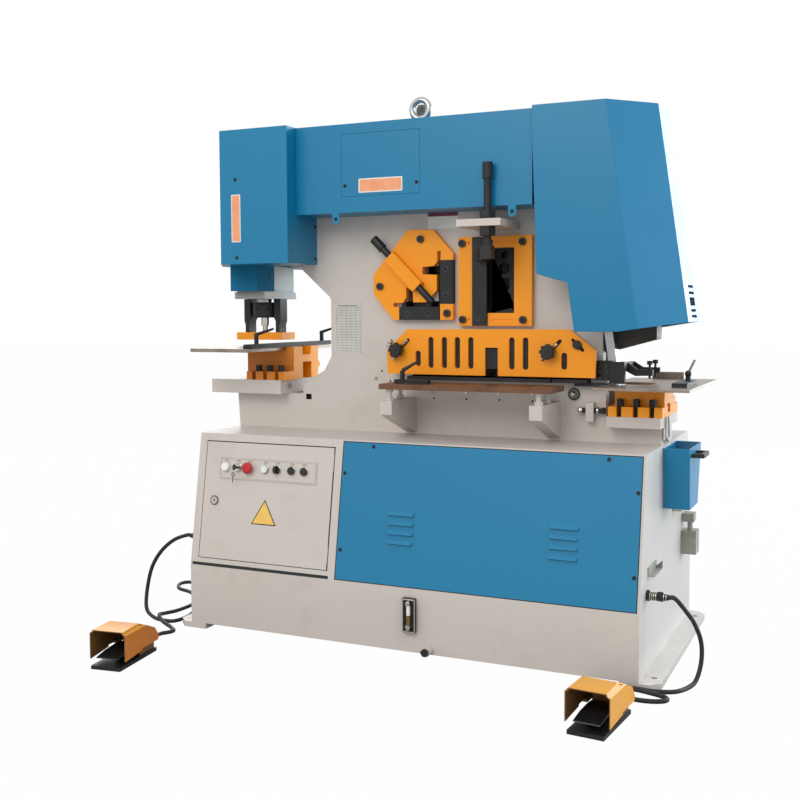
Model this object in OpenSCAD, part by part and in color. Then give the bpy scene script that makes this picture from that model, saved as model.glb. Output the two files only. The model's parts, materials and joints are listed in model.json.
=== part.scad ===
// Hydraulic ironworker: punching, angle, bar and plate shearing and notching
// stations on a twin-plate frame that stands on a sheet-steel cabinet.
// Millimetres, +Z up, +X along the machine, the operator stands at -Y.
// Origin: centre of the anchor-bolt rectangle, on the floor.

/* [Cabinet] */
// Length of the cabinet
cabinet_l = 1600; // [1400:10:1950]
// Depth of the cabinet at the oil tank
cabinet_d = 860; // [780:10:1040]
// Height of the deck above the floor
deck_z = 693; // [600:1:840]
// Depth of the deck
deck_d = 704; // [620:4:760]
// Height of the top edge of the oil tank
tank_z = 229; // [190:1:275]
// Thickness of the cabinet's walls
skin_t = 6; // [4:0.5:8]
// Width of the control door
door_w = 514; // [430:2:600]
// Gap around the door and the front panel
door_gap = 2.5; // [1.5:0.5:5]
// Radius of the anchor-bolt holes
anchor_r = 10; // [7:0.5:12]

/* [Frame] */
// Overall width of the frame over both plates
frame_w = 180; // [150:2:216]
// Thickness of one frame plate
plate_t = 40; // [33:1:48]
// Height of the frame above the deck
frame_h = 1007; // [960:1:1020]
// Depth of the punch throat
throat_d = 335; // [300:1:350]
// Height of the punch bed's seat above the deck
seat_h = 129; // [110:1:150]

/* [Punch] */
// Distance of the punch axis from the frame's left end
punch_in = 70; // [60:1:80]
// Radius of the punch ram
ram_r = 30; // [25:1:36]
// Radius of the punch
punch_r = 11.5; // [5:0.5:14]
// Stroke of the punch ram
punch_stroke = 55; // [46:1:66]
// Height of the die block
die_h = 120.7; // [100:0.1:130]
// Gap between the table and the stripper plate
daylight = 25; // [15:1:35]
// Thickness of the stripper plate
stripper_t = 28; // [22:1:34]

/* [Shear] */
// Radius of the pivot shaft of the rocking beam
pivot_r = 30; // [25:1:36]
// Thickness of the rocking beam
beam_t = 80; // [66:1:90]
// Thickness of the yellow guide plates
guide_t = 25; // [20:1:30]
// Thickness of the shear table
plank_t = 18; // [15:1:30]

/* [Covers] */
// Thickness of the blue sheet covers
cover_t = 3; // [2:0.5:4]
// Distance of the punch hood's front from the frame's middle
hood_y = 300; // [270:1:330]

/* [Hidden] */
$fn = 48;
run = 0.4;
fit = 0.08;
// heights below are measured from the deck
half_l = cabinet_l / 2;
half_d = cabinet_d / 2;
deck_half = deck_d / 2;
foot_t = 20;
foot_out = 61;
slope_a = atan((half_d - deck_half) / (deck_z - tank_z));
slope_l = (deck_z - tank_z) / cos(slope_a);
door_x0 = -half_l + 32;
door_x1 = door_x0 + door_w;
door_v0 = 29.4;
door_v1 = slope_l - 30.5;
door_rim = 16;
panel_x0 = door_x1 + 36;
panel_x1 = half_l - 10;
panel_v0 = 4;
panel_v1 = slope_l - 7;
wall_x = door_x1 + 24;
// frame
yf = -frame_w / 2;
yb = frame_w / 2;
gap_h = frame_w / 2 - plate_t;
frame_x0 = -812;
frame_x1 = 792;
throat_x = frame_x0 + 70 + throat_d;
head_h = 604;
head_x = -660;
// punch station
punch_x = frame_x0 + punch_in;
bed_t = 51;
bed_top = seat_h + bed_t;
die_top = bed_top + die_h;
heel_h = die_h - 50.7;
table_top = die_top + 0.3;
table_t = 13;
strip_z = table_top + daylight;
strip_top = strip_z + stripper_t;
nut_z = strip_top + punch_stroke + 1;
nut_h = 58;
nut_r = ram_r + 19;
leg_in = nut_r + 3;
flange_z = nut_z + nut_h + 13;
flange_t = 26;
guide_z = flange_z + flange_t;
hood_z = guide_z + 96;
cyl_z = hood_z + 7;
cyl_h = 377;
bore_z = cyl_z + 40;
piston_r = 68;
piston_t = 60;
piston_z = bore_z + punch_stroke + 190;
die_r = 29;
shank_r = punch_r + 5.5;
head_r = shank_r + 6;
hood_top = 1076;
hood_x1 = -463;
// covers
cover_y = 238;
cover_x1 = 405;
cover_z = 772;
cover_top = 1075;
notch_top = 1083;
notch_bot = 366;
lean = 8.4;
// rocking beam
piv_x = -330;
piv_z = 92;
boss_r = pivot_r + 35;
beam_y = beam_t / 2;
blade_y = gap_h - 0.5;
rod_x = 330;
rod_cyl_z = 800;
rod_r = 30;
rod_piston_r = 58;
beam_top = 770;
// guide plates
gy = yf - guide_t;
pad_t = 48;
pad_y = yf - pad_t;
knob_x = [-107, 438];
guard_t = 12;
guard_slot = 20;
slit_z = 195;
slit_top = 236;
blade_h = 12;
// diagonal clamp of the angle station
clamp_x = -150;
clamp_z = 624;
clamp_w = 44;
clamp_l = 153;
clamp_r = 12;
clamp_y = gy - clamp_r - 1;
// bar station clamp
screw_x = 262;
screw_y = -cover_y - 24;
screw_r = 12.5;
bar_br_z = 706;
bar_br_t = 23;
// notching station
notch_seat = 56;
nbed_t = 35;
ndie_z = notch_seat + nbed_t;
ntab_z = 183;
ntab_t = 8;
nram_x = 617;
nram_z = 269;
nram_w = 28;
nram_bot = 197;

// ---------------------------------------------------------------- helpers
module box(x0, x1, y0, y1, z0, z1) {
  translate([x0, y0, z0]) cube([x1 - x0, y1 - y0, z1 - z0]);
}
// polygon in the X-Z plane, from y0 back to y1
module xz(y0, y1) {
  translate([0, y1, 0]) rotate([90, 0, 0]) linear_extrude(y1 - y0) children();
}
// polygon in the Y-Z plane, from x0 to x1
module yz(x0, x1) {
  translate([x0, 0, 0]) rotate([90, 0, 90]) linear_extrude(x1 - x0) children();
}
module rod_y(x, z, y0, y1, r) {
  translate([x, y1, z]) rotate([90, 0, 0]) cylinder(h = y1 - y0, r = r);
}
module rod_x(y, z, x0, x1, r) {
  translate([x0, y, z]) rotate([0, 90, 0]) cylinder(h = x1 - x0, r = r);
}
module rod_z(x, y, z0, z1, r) {
  translate([x, y, z0]) cylinder(h = z1 - z0, r = r);
}
// straight slot with round ends, in the plane of the front face
module slot_y(x, z0, z1, w, y0, y1) {
  rod_y(x, z0, y0, y1, w / 2);
  rod_y(x, z1, y0, y1, w / 2);
  box(x - w / 2, x + w / 2, y0, y1, z0, z1);
}
module slope_slot(x, z, l0, l1, w, y0, y1, turn) {
  translate([x, 0, z]) rotate([0, turn, 0]) {
    box(l0, l1, y0, y1, -w / 2, w / 2);
    for (l = [l0, l1]) rod_y(l, 0, y0, y1, w / 2);
  }
}
module on_deck() {
  translate([0, 0, deck_z]) children();
}
// local frame of the sloping front: z runs up the slope, y points inwards
module on_slope() {
  translate([0, -half_d, tank_z]) rotate([-slope_a, 0, 0]) children();
}
// drilled position on the door, r = hole radius
module door_hole(x, v, r) {
  rod_y(x, v, -10, door_rim + 1, r);
}
module socket_bolt(r, h, s, l) {
  difference() {
    union() {
      cylinder(h = h, r = r);
      translate([0, 0, -l]) cylinder(h = l + 0.1, r = s);
    }
    translate([0, 0, h * 0.4]) cylinder(h = h, r = s * 0.8, $fn = 6);
  }
}

// ---------------------------------------------------------------- cabinet
function shell(t) = [
  [-half_d + t, foot_t + t], [half_d - t, foot_t + t],
  [half_d - t, tank_z - t * 0.1], [deck_half - t, deck_z - t * 1.6],
  [-deck_half + t, deck_z - t * 1.6], [-half_d + t, tank_z - t * 0.1]];

button_v = (577 - 229) * 1.014;
lamp_x = door_x0 + 88;
key_x = door_x0 + 138;
mush_x = door_x0 + 184;
start_x = door_x0 + 249;
sel_x = door_x0 + 297;
jog_l = door_x0 + 355;
jog_r = door_x0 + 405;
lock_x = door_x0 + 48;
lock_v = (458 - 229) * 1.014;
stem_r = 9.5;
hole_r = 11;

module base_cabinet() color("#c5bdb6") {
  door_hinge();
  difference() {
    union() {
      yz(-half_l, half_l) polygon([
        [-half_d, foot_t], [half_d, foot_t], [half_d, tank_z],
        [deck_half, deck_z], [-deck_half, deck_z], [-half_d, tank_z]]);
      for (s = [-1, 1]) mirror([s < 0 ? 1 : 0, 0, 0]) difference() {
        translate([half_l - 60, 0, 0]) linear_extrude(foot_t) polygon([
          [0, -half_d], [60 + foot_out - 30, -half_d],
          [60 + foot_out, -half_d + 30], [60 + foot_out, half_d - 30],
          [60 + foot_out - 30, half_d], [0, half_d]]);
        for (y = [-1, 1])
          rod_z(half_l + 32, y * (half_d - 70), -1, foot_t + 1, anchor_r);
      }
    }
    // oil tank
    box(-half_l + skin_t, half_l - skin_t, -half_d + skin_t,
        half_d - skin_t, foot_t + skin_t, tank_z - skin_t * 2);
    // switch compartment on the left, pump compartment on the right
    yz(-half_l + skin_t, wall_x - skin_t) polygon([
      [-half_d + skin_t + 1, tank_z], [half_d - skin_t - 1, tank_z],
      [deck_half - skin_t, deck_z - 12], [-deck_half + skin_t, deck_z - 12]]);
    yz(wall_x + skin_t, half_l - skin_t) polygon([
      [-half_d + skin_t + 1, tank_z], [half_d - skin_t - 1, tank_z],
      [deck_half - skin_t, deck_z - 12], [-deck_half + skin_t, deck_z - 12]]);
    on_slope() {
      box(door_x0 - door_gap, door_x1 + door_gap, -5, skin_t + 4,
          door_v0 - door_gap, door_v1 + door_gap);
      box(panel_x0 - door_gap, panel_x1 + door_gap, -5, cover_t,
          panel_v0 - door_gap, panel_v1 + door_gap);
      box(panel_x0 + 22, panel_x1 - 22, -5, skin_t + 4,
          panel_v0 + 22, panel_v1 - 22);
      // drip slot under the door
      box(door_x0 - 22, door_x1 + 9, -5, skin_t + 4, 5, 11);
    }
    // holes of the drain plug and the sight gauge's two bolt holes
    rod_y(124, 36, -half_d - 1, -half_d + skin_t + 1, 9);
    for (z = [107, 183]) rod_y(58, z, -half_d - 1, -half_d + skin_t + 1, 6);
  }
}

// slim hinge barrel in the gap at the door's right edge, part of the cabinet
hinge_r = door_gap / 2 - 0.3;
module door_hinge() on_slope() {
  for (v = [door_v0 + 20, door_v1 - 80]) {
    translate([door_x1 + door_gap / 2, 0.5, v]) cylinder(h = 60, r = hinge_r);
    box(door_x1 + door_gap / 2, door_x1 + door_gap + 0.2, 0.3, 0.7, v, v + 60);
  }
}

module control_door() color("#c3bbb5") on_slope() {
  difference() {
    box(door_x0, door_x1, 0, door_rim, door_v0, door_v1);
    box(door_x0 + 3, door_x1 - 3, 3, door_rim + 1, door_v0 + 3, door_v1 - 3);
    for (x = [lamp_x, key_x, mush_x, start_x, sel_x, jog_l, jog_r])
      door_hole(x, button_v, hole_r);
    door_hole(lock_x, lock_v, 10);
  }
}

module button_plate() color("#d2cdc8") on_slope() difference() {
  union() {
    box(door_x0 + 62, door_x1 - 60, -2, 0, button_v - 43, button_v + 34);
    for (x = [lamp_x, key_x, start_x, sel_x, jog_l, jog_r])
      rod_y(x, button_v, -6, 0, 14.5);
    rod_y(mush_x, button_v, -8, 0, 15);
  }
  for (x = [lamp_x, key_x, mush_x, start_x, sel_x, jog_l, jog_r])
    door_hole(x, button_v, hole_r);
}

module signal_lamp() color("#f2f2ee") on_slope() {
  rod_y(lamp_x, button_v, -9, 34, hole_r - 0.3);
  translate([lamp_x, -6.1, button_v]) rotate([90, 0, 0])
    cylinder(h = 10, r1 = 16.5, r2 = 13.5);
}

module key_switch() color("#d9d9d6") on_slope() {
  rod_y(key_x, button_v, -8, 30, hole_r - run);
  // key with a round bow, and its twin on the ring below
  box(key_x - 1.2, key_x + 1.2, -24, -8, button_v - 4, button_v + 4);
  translate([key_x, -30, button_v]) rotate([0, 90, 0]) difference() {
    translate([0, 0, -1.2]) cylinder(h = 2.4, r = 10);
    translate([0, 0, -2]) cylinder(h = 4, r = 3);
  }
}

module mushroom_button() color("#c8242b") on_slope() {
  rod_y(mush_x, button_v, -16, 30, hole_r - run);
  translate([mush_x, -14, button_v]) rotate([90, 0, 0]) {
    cylinder(h = 8, r = 20);
    translate([0, 0, 8]) cylinder(h = 5, r1 = 20, r2 = 14);
  }
}

module button_cap(x, p) {
  rod_y(x, button_v, -p, 24, hole_r - run);
  rod_y(x, button_v, -p - 3, -10.2, 13);
}
module start_button() color("#e7efe6") on_slope() button_cap(start_x, 11);
module jog_button_left() color("#222222") on_slope() button_cap(jog_l, 10);
module jog_button_right() color("#222222") on_slope() button_cap(jog_r, 10);

module selector_knob() color("#222222") on_slope() {
  rod_y(sel_x, button_v, -9, 30, hole_r - run);
  rod_y(sel_x, button_v, -14, -8, 13);
  box(sel_x - 4, sel_x + 4, -24, -13, button_v - 12.5, button_v + 12.5);
}

module door_lock() color("#2a2a2a") on_slope() {
  difference() {
    union() {
      rod_y(lock_x, lock_v, -4, 0, 13);
      rod_y(lock_x, lock_v, -1, 24, 10 - run);
    }
    translate([lock_x, 1, lock_v]) rotate([90, 0, 0])
      cylinder(h = 8, r = 5, $fn = 3);
  }
  // latch tongue, upright while unlocked
  box(lock_x - 9, lock_x + 9, 24, 27, lock_v - 9, lock_v + 60);
}

louvre_l = 88;
function louvre_x(i) = i == 0 ? panel_x0 + 184 : panel_x1 - 275;
function louvre_v(k) = 134 + k * 31;
module front_panel() color("#2f80ae") on_slope() {
  difference() {
    box(panel_x0, panel_x1, 0, cover_t, panel_v0, panel_v1);
    for (i = [0, 1]) for (k = [0:3])
      box(louvre_x(i), louvre_x(i) + louvre_l, -1, cover_t + 1,
          louvre_v(k) + 2, louvre_v(k) + 12);
    for (p = panel_screws()) rod_y(p[0], p[1], -1, cover_t + 1, 4);
  }
  for (i = [0, 1]) for (k = [0:3]) {
    v = louvre_v(k);
    yz(louvre_x(i), louvre_x(i) + louvre_l) polygon([
      [1, v + 17], [0, v + 17], [-7.5, v + 5], [-7.5, v + 3], [-6, v + 3],
      [1, v + 14]]);
    // closed ends
    for (x = [louvre_x(i), louvre_x(i) + louvre_l - 1.5])
      yz(x, x + 1.5) polygon([[1, v + 17], [0, v + 17], [-7.5, v + 5],
        [-7.5, v + 3], [1, v + 1]]);
  }
}
function panel_screws() = [
  [panel_x0 + 12, panel_v0 + 98], [panel_x0 + 10, panel_v0 + 354],
  [panel_x0 + 111, panel_v1 - 12], [panel_x1 - 102, panel_v1 - 12],
  [panel_x1 - 9, panel_v1 - 108], [panel_x1 - 10, panel_v0 + 100]];

module screw_head(r) {
  difference() {
    union() {
      cylinder(h = 2.6, r1 = r, r2 = r * 0.72);
      translate([0, 0, -3]) cylinder(h = 3.05, r = 3.9);
    }
    translate([0, 0, 1]) cylinder(h = 3, r = 2.2, $fn = 6);
  }
}
module screw_f(x, y, z) {
  translate([x, y, z]) rotate([90, 0, 0]) screw_head(6.5);
}
module cover_screws() {
  on_slope() for (p = panel_screws()) screw_f(p[0], 0, p[1]);
  on_deck() {
    screw_f(-676, -hood_y, 901);
    screw_f(-673, -hood_y, 625);
    screw_f(-269, -cover_y, 864);
    screw_f(1, -cover_y, 864);
    for (z = [740, 624]) translate([hood_x1, -105, z]) rotate([0, 90, 0])
      screw_head(6.5);
    for (x = [-304, 338]) screw_f(x, -cover_y - 3, 752);
    translate([punch_x + 59, -63, hood_z - 45]) rotate([0, 90, 0])
      screw_head(6.5);
  }
}

module tank_fittings() color("#b9bcbf") {
  // sight gauge
  difference() {
    translate([0, -half_d - 14, 0]) union() {
      box(36, 80, 0, 14, 88, 200);
    }
    box(48, 68, -half_d - 15, -half_d - 4, 118, 172);
  }
  for (z = [107, 183]) {
    rod_y(58, z, -half_d - 0.05, -half_d + 16, 5.6);
    rod_y(58, z, -half_d - 22, -half_d - 13.9, 9);
  }
  // drain stub with its cap
  rod_y(124, 36, -half_d, -half_d + skin_t, 8.6);
  rod_y(124, 36, -half_d - 32, -half_d - 0.05, 15);
  rod_y(124, 36, -half_d - 41, -half_d - 31.9, 12.5);
}

// ------------------------------------------------------------------ frame
function frame_outline() = [
  [frame_x0 + 7, 0], [frame_x0, seat_h - 14], [frame_x0, seat_h],
  [throat_x - 120, seat_h], [throat_x - 120, seat_h + 31],
  [throat_x - 98, seat_h + 49], [throat_x - 28, seat_h + 89],
  [throat_x, seat_h + 141], [throat_x, head_h - 130],
  [throat_x - 5, head_h - 119], [throat_x - 139, head_h],
  [head_x, head_h], [head_x, frame_h], [rod_x - 80, frame_h],
  [rod_x - 80, rod_cyl_z], [rod_x + 80, rod_cyl_z], [rod_x + 80, frame_h],
  [640, frame_h], [640, 500], [575, 480], [575, 380], [600, 372],
  [600, 205], [612, 205], [612, notch_seat], [frame_x1, notch_seat],
  [frame_x1, 0]];

// leg openings of the angle station, widened by e, as they run through the
// frame and the beam
module angle_hole(e) {
  translate([18 - e, 448 - e]) square([16 + 2 * e, 162 + 2 * e]);
  translate([-124 - e, 448 - e]) square([158 + 2 * e, 19 + 2 * e]);
  translate([-36 - e, 556 - e]) square([66 + e, 34 + 2 * e]);
  translate([-99 - e, 460]) square([34 + 2 * e, 62 + e]);
}
// the same openings as the yellow guide plate shows them
module angle_profile() {
  polygon([[34, 448], [34, 608], [37, 610], [37, 639], [24, 639], [24, 603],
    [10, 588], [-32, 586], [-32, 560], [22, 558], [22, 504], [-19, 463],
    [-68, 463], [-69, 500], [-95, 518], [-94, 481], [-107, 462],
    [-144, 461], [-144, 448]]);
}
module bar_hole(e) {
  translate([203 - e, 425 - e]) square([100 + 2 * e, 220 + 2 * e]);
}
module station_cuts(y0, y1, e) {
  xz(y0, y1) angle_hole(e);
  xz(y0, y1) bar_hole(e);
}

module frame_front() color("#c5bdb6") on_deck() {
  difference() {
    union() {
      xz(yf, -gap_h) polygon(frame_outline());
      // pad behind the plate guard
      xz(pad_y, yf + 0.01) polygon([[-84, 366], [503, 366], [575, 308],
        [575, 216], [-145, 216], [-147, 298]]);
      // bracket of the bar clamp
      box(screw_x - 100, screw_x + 53, screw_y - 25, yf + 0.01, bar_br_z,
        bar_br_z + bar_br_t);
      // lug of the blade adjuster
      box(552, 578, yf - 32, yf + 0.01, 70, 131);
    }
    station_cuts(yf - 1, -gap_h + 1, 0);
    box(-122, 34.1, yf - 1, -gap_h + 1, 402, 448.1);
    box(33.9, 81, yf - 1, -gap_h + 1, 457, 608);
    box(-78, 561, pad_y - 1, -gap_h + 1, slit_z, slit_top);
    box(-78, 561, pad_y - 1, yf, slit_top - 25, 222);
    rod_y(piv_x, piv_z, yf - 1, -gap_h + 1, pivot_r + fit);
    rod_z(screw_x, screw_y, bar_br_z - 1, bar_br_z + bar_br_t + 1, screw_r + run);
    for (x = knob_x) rod_y(x, 298, pad_y - 1, pad_y + 32, 6 + run);
    rod_x(yf - 18, 105, 540, 590, 8 + fit);
    // tapped holes below the blades
    for (x = [0, 122, 242, 361]) rod_y(x, 150, yf - 1, yf + 12, 4);
    box(-515, -492, yf - 1, yf + 14, 108, 128);
  }
}

module frame_rear() color("#c5bdb6") on_deck() difference() {
  union() {
    xz(gap_h, yb) polygon(frame_outline());
    // spacer blocks welded between the plates
    box(-800, -425, -gap_h, gap_h - 0.05, 5, seat_h - 4);
    box(-655, -425, -gap_h, gap_h - 0.05, 640, frame_h - 7);
    difference() {
      box(-425, 240, -gap_h, gap_h - 0.05, frame_h - 40, frame_h - 7);
      rod_z(-87, 0, frame_h - 45, frame_h, 14 + fit);
    }
    box(-180, 600, -gap_h, gap_h - 0.05, 5, 60);
    box(600, 785, -gap_h, gap_h - 0.05, 5, notch_seat - 6);
  }
  // way out of the angle legs, of the bars and of the plate
  box(14, 39, gap_h - 1, yb + 1, 444, 618);
  box(-70, 39, gap_h - 1, yb + 1, 444, 470);
  box(224, 282, gap_h - 1, yb + 1, 437, 640);
  box(-78, 561, gap_h - 1, yb + 1, slit_z + blade_h - 4, slit_z + blade_h + 11);
  rod_y(piv_x, piv_z, gap_h - 1, yb + 1, pivot_r + fit);
  // slug passage under the punch bed
  rod_z(punch_x, 0, 60, seat_h + 1, 20);
  box(punch_x - 20, punch_x + 20, -gap_h - 1, 20, 60, 100);
}

// ---------------------------------------------------------- punch station
module punch_bed() color("#c5bdb6") on_deck() difference() {
  box(-890, -588, -151, 151, seat_h, bed_top);
  rod_z(punch_x, 0, seat_h - 1, bed_top + 1, 20);
  for (x = die_bolts_x()) rod_z(x, -113, seat_h + 20, bed_top + 1, 6.3);
  for (x = [-700, -610]) rod_z(x, 92, seat_h + 20, bed_top + 1, 6.3);
  rod_x(-89, seat_h + 28, -610, -587, 8.1);
}
function die_bolts_x() = [-704, -656, -606];
function ndie_bolts_x() = [668, 721, 773];

module die_block() color("#f09a24") on_deck() {
  difference() {
    union() {
      box(punch_x - 35, -574, -76, 109, bed_top, die_top);
      box(-735, -574, -150, -75, bed_top, bed_top + 31);
      yz(-735, -574) polygon([[54, bed_top], [125, bed_top + heel_h - 25],
        [118, bed_top + heel_h - 8], [100, bed_top + heel_h],
        [54, bed_top + heel_h]]);
    }
    // channels along the block
    box(punch_x - 36, -573, -9, 55, bed_top - 1, bed_top + 62);
    box(punch_x + 45, -573, -10, 51, die_top - 31, die_top + 1);
    for (x = die_bolts_x()) {
      box(x - 8, x + 8, -151, -113, bed_top - 1, bed_top + 32);
      rod_z(x, -113, bed_top - 1, bed_top + 32, 8);
      rod_z(x, -100, bed_top + 31, bed_top + 80, 15);
    }
    for (x = [-700, -610]) {
      rod_z(x, 92, bed_top - 1, bed_top + heel_h + 1, 7);
      rod_z(x, 92, bed_top + 40, die_top + 1, 12.5);
    }
    rod_z(punch_x, 0, die_top - 34, die_top + 1, die_r);
    rod_z(punch_x, 0, bed_top, die_top, punch_r + 4);
  }
  // round die in its seat
  difference() {
    rod_z(punch_x, 0, die_top - 34, die_top, die_r - 0.05);
    rod_z(punch_x, 0, die_top - 35, die_top + 1, punch_r + 0.5);
  }
}

module bolt_z(x, y, z, r, h, s, l) {
  translate([x, y, z]) socket_bolt(r, h, s, l);
}
module bolt_y(x, y, z, r, h, s, l) {
  translate([x, y, z]) rotate([90, 0, 0]) socket_bolt(r, h, s, l);
}
module cap_bolts() on_deck() {
  for (x = die_bolts_x())
    bolt_z(x, -113, bed_top + 31, 12, 22, 6, 40);
  for (x = [-700, -610])
    bolt_z(x, 92, bed_top + 40, 11.5, 14, 6, 50);
  for (x = ndie_bolts_x())
    bolt_z(x, -128, ndie_z + 33, 11, 24, 6, 45);
  // angle station
  for (p = [[-38, 682], [-195, 520], [61, 425]])
    bolt_y(p[0], gy, p[1], 13, 8, 5, 12);
  // end bolt of the plate guard
  // bar station
  for (p = [[117, 662], [333, 663], [119, 403], [335, 402]])
    bolt_y(p[0], gy, p[1], 13, 8, 5, 12);
  // nuts of the bar clamp, above and below its bracket
  for (z = [bar_br_z + bar_br_t, bar_br_z - 31]) difference() {
    translate([screw_x, screw_y, z]) cylinder(h = z > bar_br_z ? 26 : 31,
      r = 27, $fn = 6);
    rod_z(screw_x, screw_y, z - 1, z + 32, screw_r + run);
  }
  // blade adjuster screws
  rod_x(yf - 18, 105, 524, 604, 8);
  translate([604, yf - 18, 105]) rotate([0, 90, 0])
    cylinder(h = 10, r = 11, $fn = 6);
  // stop screw on the right side of the punch bed
  translate([-588, -89, seat_h + 28]) rotate([0, 90, 0])
    socket_bolt(10, 8, 8, 18);
  // pin boss on the frame's lower right
  rod_y(506, 157, yf - 16, yf, 17);
}

module fasteners() color("#232325") {
  cover_screws();
  cap_bolts();
}

module punch_guide() color("#8f9396") on_deck() difference() {
  union() {
    box(punch_x - 66, punch_x + 66, -112, 120, flange_z, guide_z);
    box(punch_x - 56, punch_x + 56, -110, 120, guide_z - 0.01, cyl_z);
  }
  rod_z(punch_x, 0, flange_z - 1, cyl_z + 1, ram_r + run);
}

module hydraulic_cylinders() color("#a8aaac") on_deck() {
  // punch cylinder at the frame's head
  difference() {
    box(punch_x - 82, head_x, -120, 120, cyl_z, cyl_z + cyl_h);
    rod_z(punch_x, 0, bore_z, cyl_z + cyl_h - 30, piston_r + run);
    rod_z(punch_x, 0, cyl_z - 1, bore_z + 1, ram_r + run);
  }
  // shear cylinder on top of the frame
  difference() {
    box(rod_x - 80, rod_x + 80, yf, yb, rod_cyl_z, rod_cyl_z + 200);
    rod_z(rod_x, 0, rod_cyl_z + 30, rod_cyl_z + 180, rod_piston_r + run);
    rod_z(rod_x, 0, rod_cyl_z - 1, rod_cyl_z + 31, rod_r + run);
  }
}

module punch_ram() color("#c9cbcd") on_deck() {
  rod_z(punch_x, 0, nut_z + 32, nut_z + nut_h + 0.5, ram_r - 5);
  rod_z(punch_x, 0, nut_z + nut_h, piston_z + 1, ram_r);
  rod_z(punch_x, 0, piston_z, piston_z + piston_t, piston_r);
}

module coupling_nut() color("#232326") on_deck() difference() {
  union() {
    rod_z(punch_x, 0, nut_z + 3, nut_z + nut_h - 3, nut_r);
    translate([punch_x, 0, nut_z]) cylinder(h = 3.01, r1 = nut_r - 3, r2 = nut_r);
    translate([punch_x, 0, nut_z + nut_h - 3.01])
      cylinder(h = 3.01, r1 = nut_r, r2 = nut_r - 3);
  }
  rod_z(punch_x, 0, nut_z + 14, nut_z + nut_h + 1, ram_r - 5 + 0.05);
  rod_z(punch_x, 0, nut_z - 1, nut_z + 15, shank_r + 0.3);
  // spanner holes
  for (a = [0:60:300]) translate([punch_x, 0, nut_z + 34]) rotate([0, 0, a + 15])
    rotate([0, 90, 0]) translate([0, 0, nut_r - 8]) cylinder(h = 10, r = 4);
}

module punch_tool() color("#1f1f21") on_deck() {
  rod_z(punch_x, 0, nut_z + 14.5, nut_z + 31, head_r);
  rod_z(punch_x, 0, strip_top + 25, nut_z + 15, shank_r);
  rod_z(punch_x, 0, strip_top, strip_top + 25.1, punch_r);
}

module stripper_bracket() color("#262628") on_deck() {
  for (s = [-1, 1]) xz(-26, 26) polygon([
    [punch_x + s * (leg_in + 29), flange_z], [punch_x + s * leg_in, flange_z],
    [punch_x + s * leg_in, flange_z - 72],
    [punch_x + s * (leg_in + 7), flange_z - 84],
    [punch_x + s * (leg_in + 7), strip_top],
    [punch_x + s * (leg_in + 24), strip_top],
    [punch_x + s * (leg_in + 24), strip_top + 30],
    [punch_x + s * (leg_in + 29), strip_top + 42]]);
}

module stripper_plate() color("#f0a038") on_deck() difference() {
  box(punch_x - 100, punch_x + 100, -50, 50, strip_z, strip_top);
  rod_z(punch_x, 0, strip_z - 1, strip_top + 1, shank_r + 1);
}

module ram_cover() color("#2f80ae") on_deck() difference() {
  box(punch_x - 59, punch_x + 59, -150, -30, guide_z + 3, hood_z);
  box(punch_x - 56, punch_x + 56, -147, -29, guide_z + 2, hood_z + 1);
  rod_x(-63, hood_z - 45, punch_x + 50, punch_x + 60, 4.2);
}

function punch_hood_plan(t) = [
  [hood_x1 - t, -hood_y + t], [punch_x + 2 + t * 0.6, -hood_y + t],
  [punch_x - 113 + t, -120 + t * 0.3], [punch_x - 113 + t, 120 - t * 0.3],
  [punch_x + 2 + t * 0.6, hood_y - t], [hood_x1 - t, hood_y - t]];
module punch_hood() color("#2f80ae") on_deck() difference() {
  translate([0, 0, hood_z]) linear_extrude(hood_top - hood_z)
    polygon(punch_hood_plan(0));
  translate([0, 0, hood_z + cover_t])
    linear_extrude(hood_top - hood_z - 2 * cover_t)
      polygon(punch_hood_plan(cover_t));
  // bottom opening round the guide and the ram cover
  box(punch_x - 59.5, punch_x + 59.5, -151, 121, hood_z - 1, hood_z + 5);
  // the frame's head comes in from below and from the right
  box(head_x - 20, hood_x1 + 1, yf, yb, hood_z - 1, frame_h + 1);
  rod_y(-676, 901, -hood_y - 1, -hood_y + 5, 4.2);
  rod_y(-673, 625, -hood_y - 1, -hood_y + 5, 4.2);
  for (z = [740, 624]) rod_x(-105, z, hood_x1 - 5, hood_x1 + 1, 4.2);
}

// ----------------------------------------------------------------- covers
module beam_cover() color("#2f80ae") on_deck() {
  difference() {
    box(hood_x1 + 0.3, cover_x1 - 0.3, -cover_y, cover_y, cover_z, cover_top);
    box(hood_x1, cover_x1, -cover_y + cover_t, cover_y - cover_t,
        cover_z + cover_t, cover_top - cover_t);
    box(hood_x1, cover_x1, yf, yb, cover_z - 1, cover_z + 5);
    for (x = [-269, 1]) rod_y(x, 864, -cover_y - 1, -cover_y + 5, 4.2);
    rod_z(-87, 0, cover_top - 5, cover_top + 1, 14 + run);
    // parting line of the service lid
    difference() {
      box(-283, 13, -cover_y - 1, -cover_y + 1, 827, 1040);
      box(-282.2, 12.2, -cover_y - 2, -cover_y + 2, 827.8, 1039.2);
    }
  }
  // fixing tabs below the front edge
  for (x = [-304, 338]) difference() {
    union() {
      box(x - 14, x + 14, -cover_y - 3, -cover_y, 748, 774);
      rod_y(x, 748, -cover_y - 3, -cover_y, 14);
    }
    rod_y(x, 752, -cover_y - 4, -cover_y + 1, 4.2);
  }
}

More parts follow.
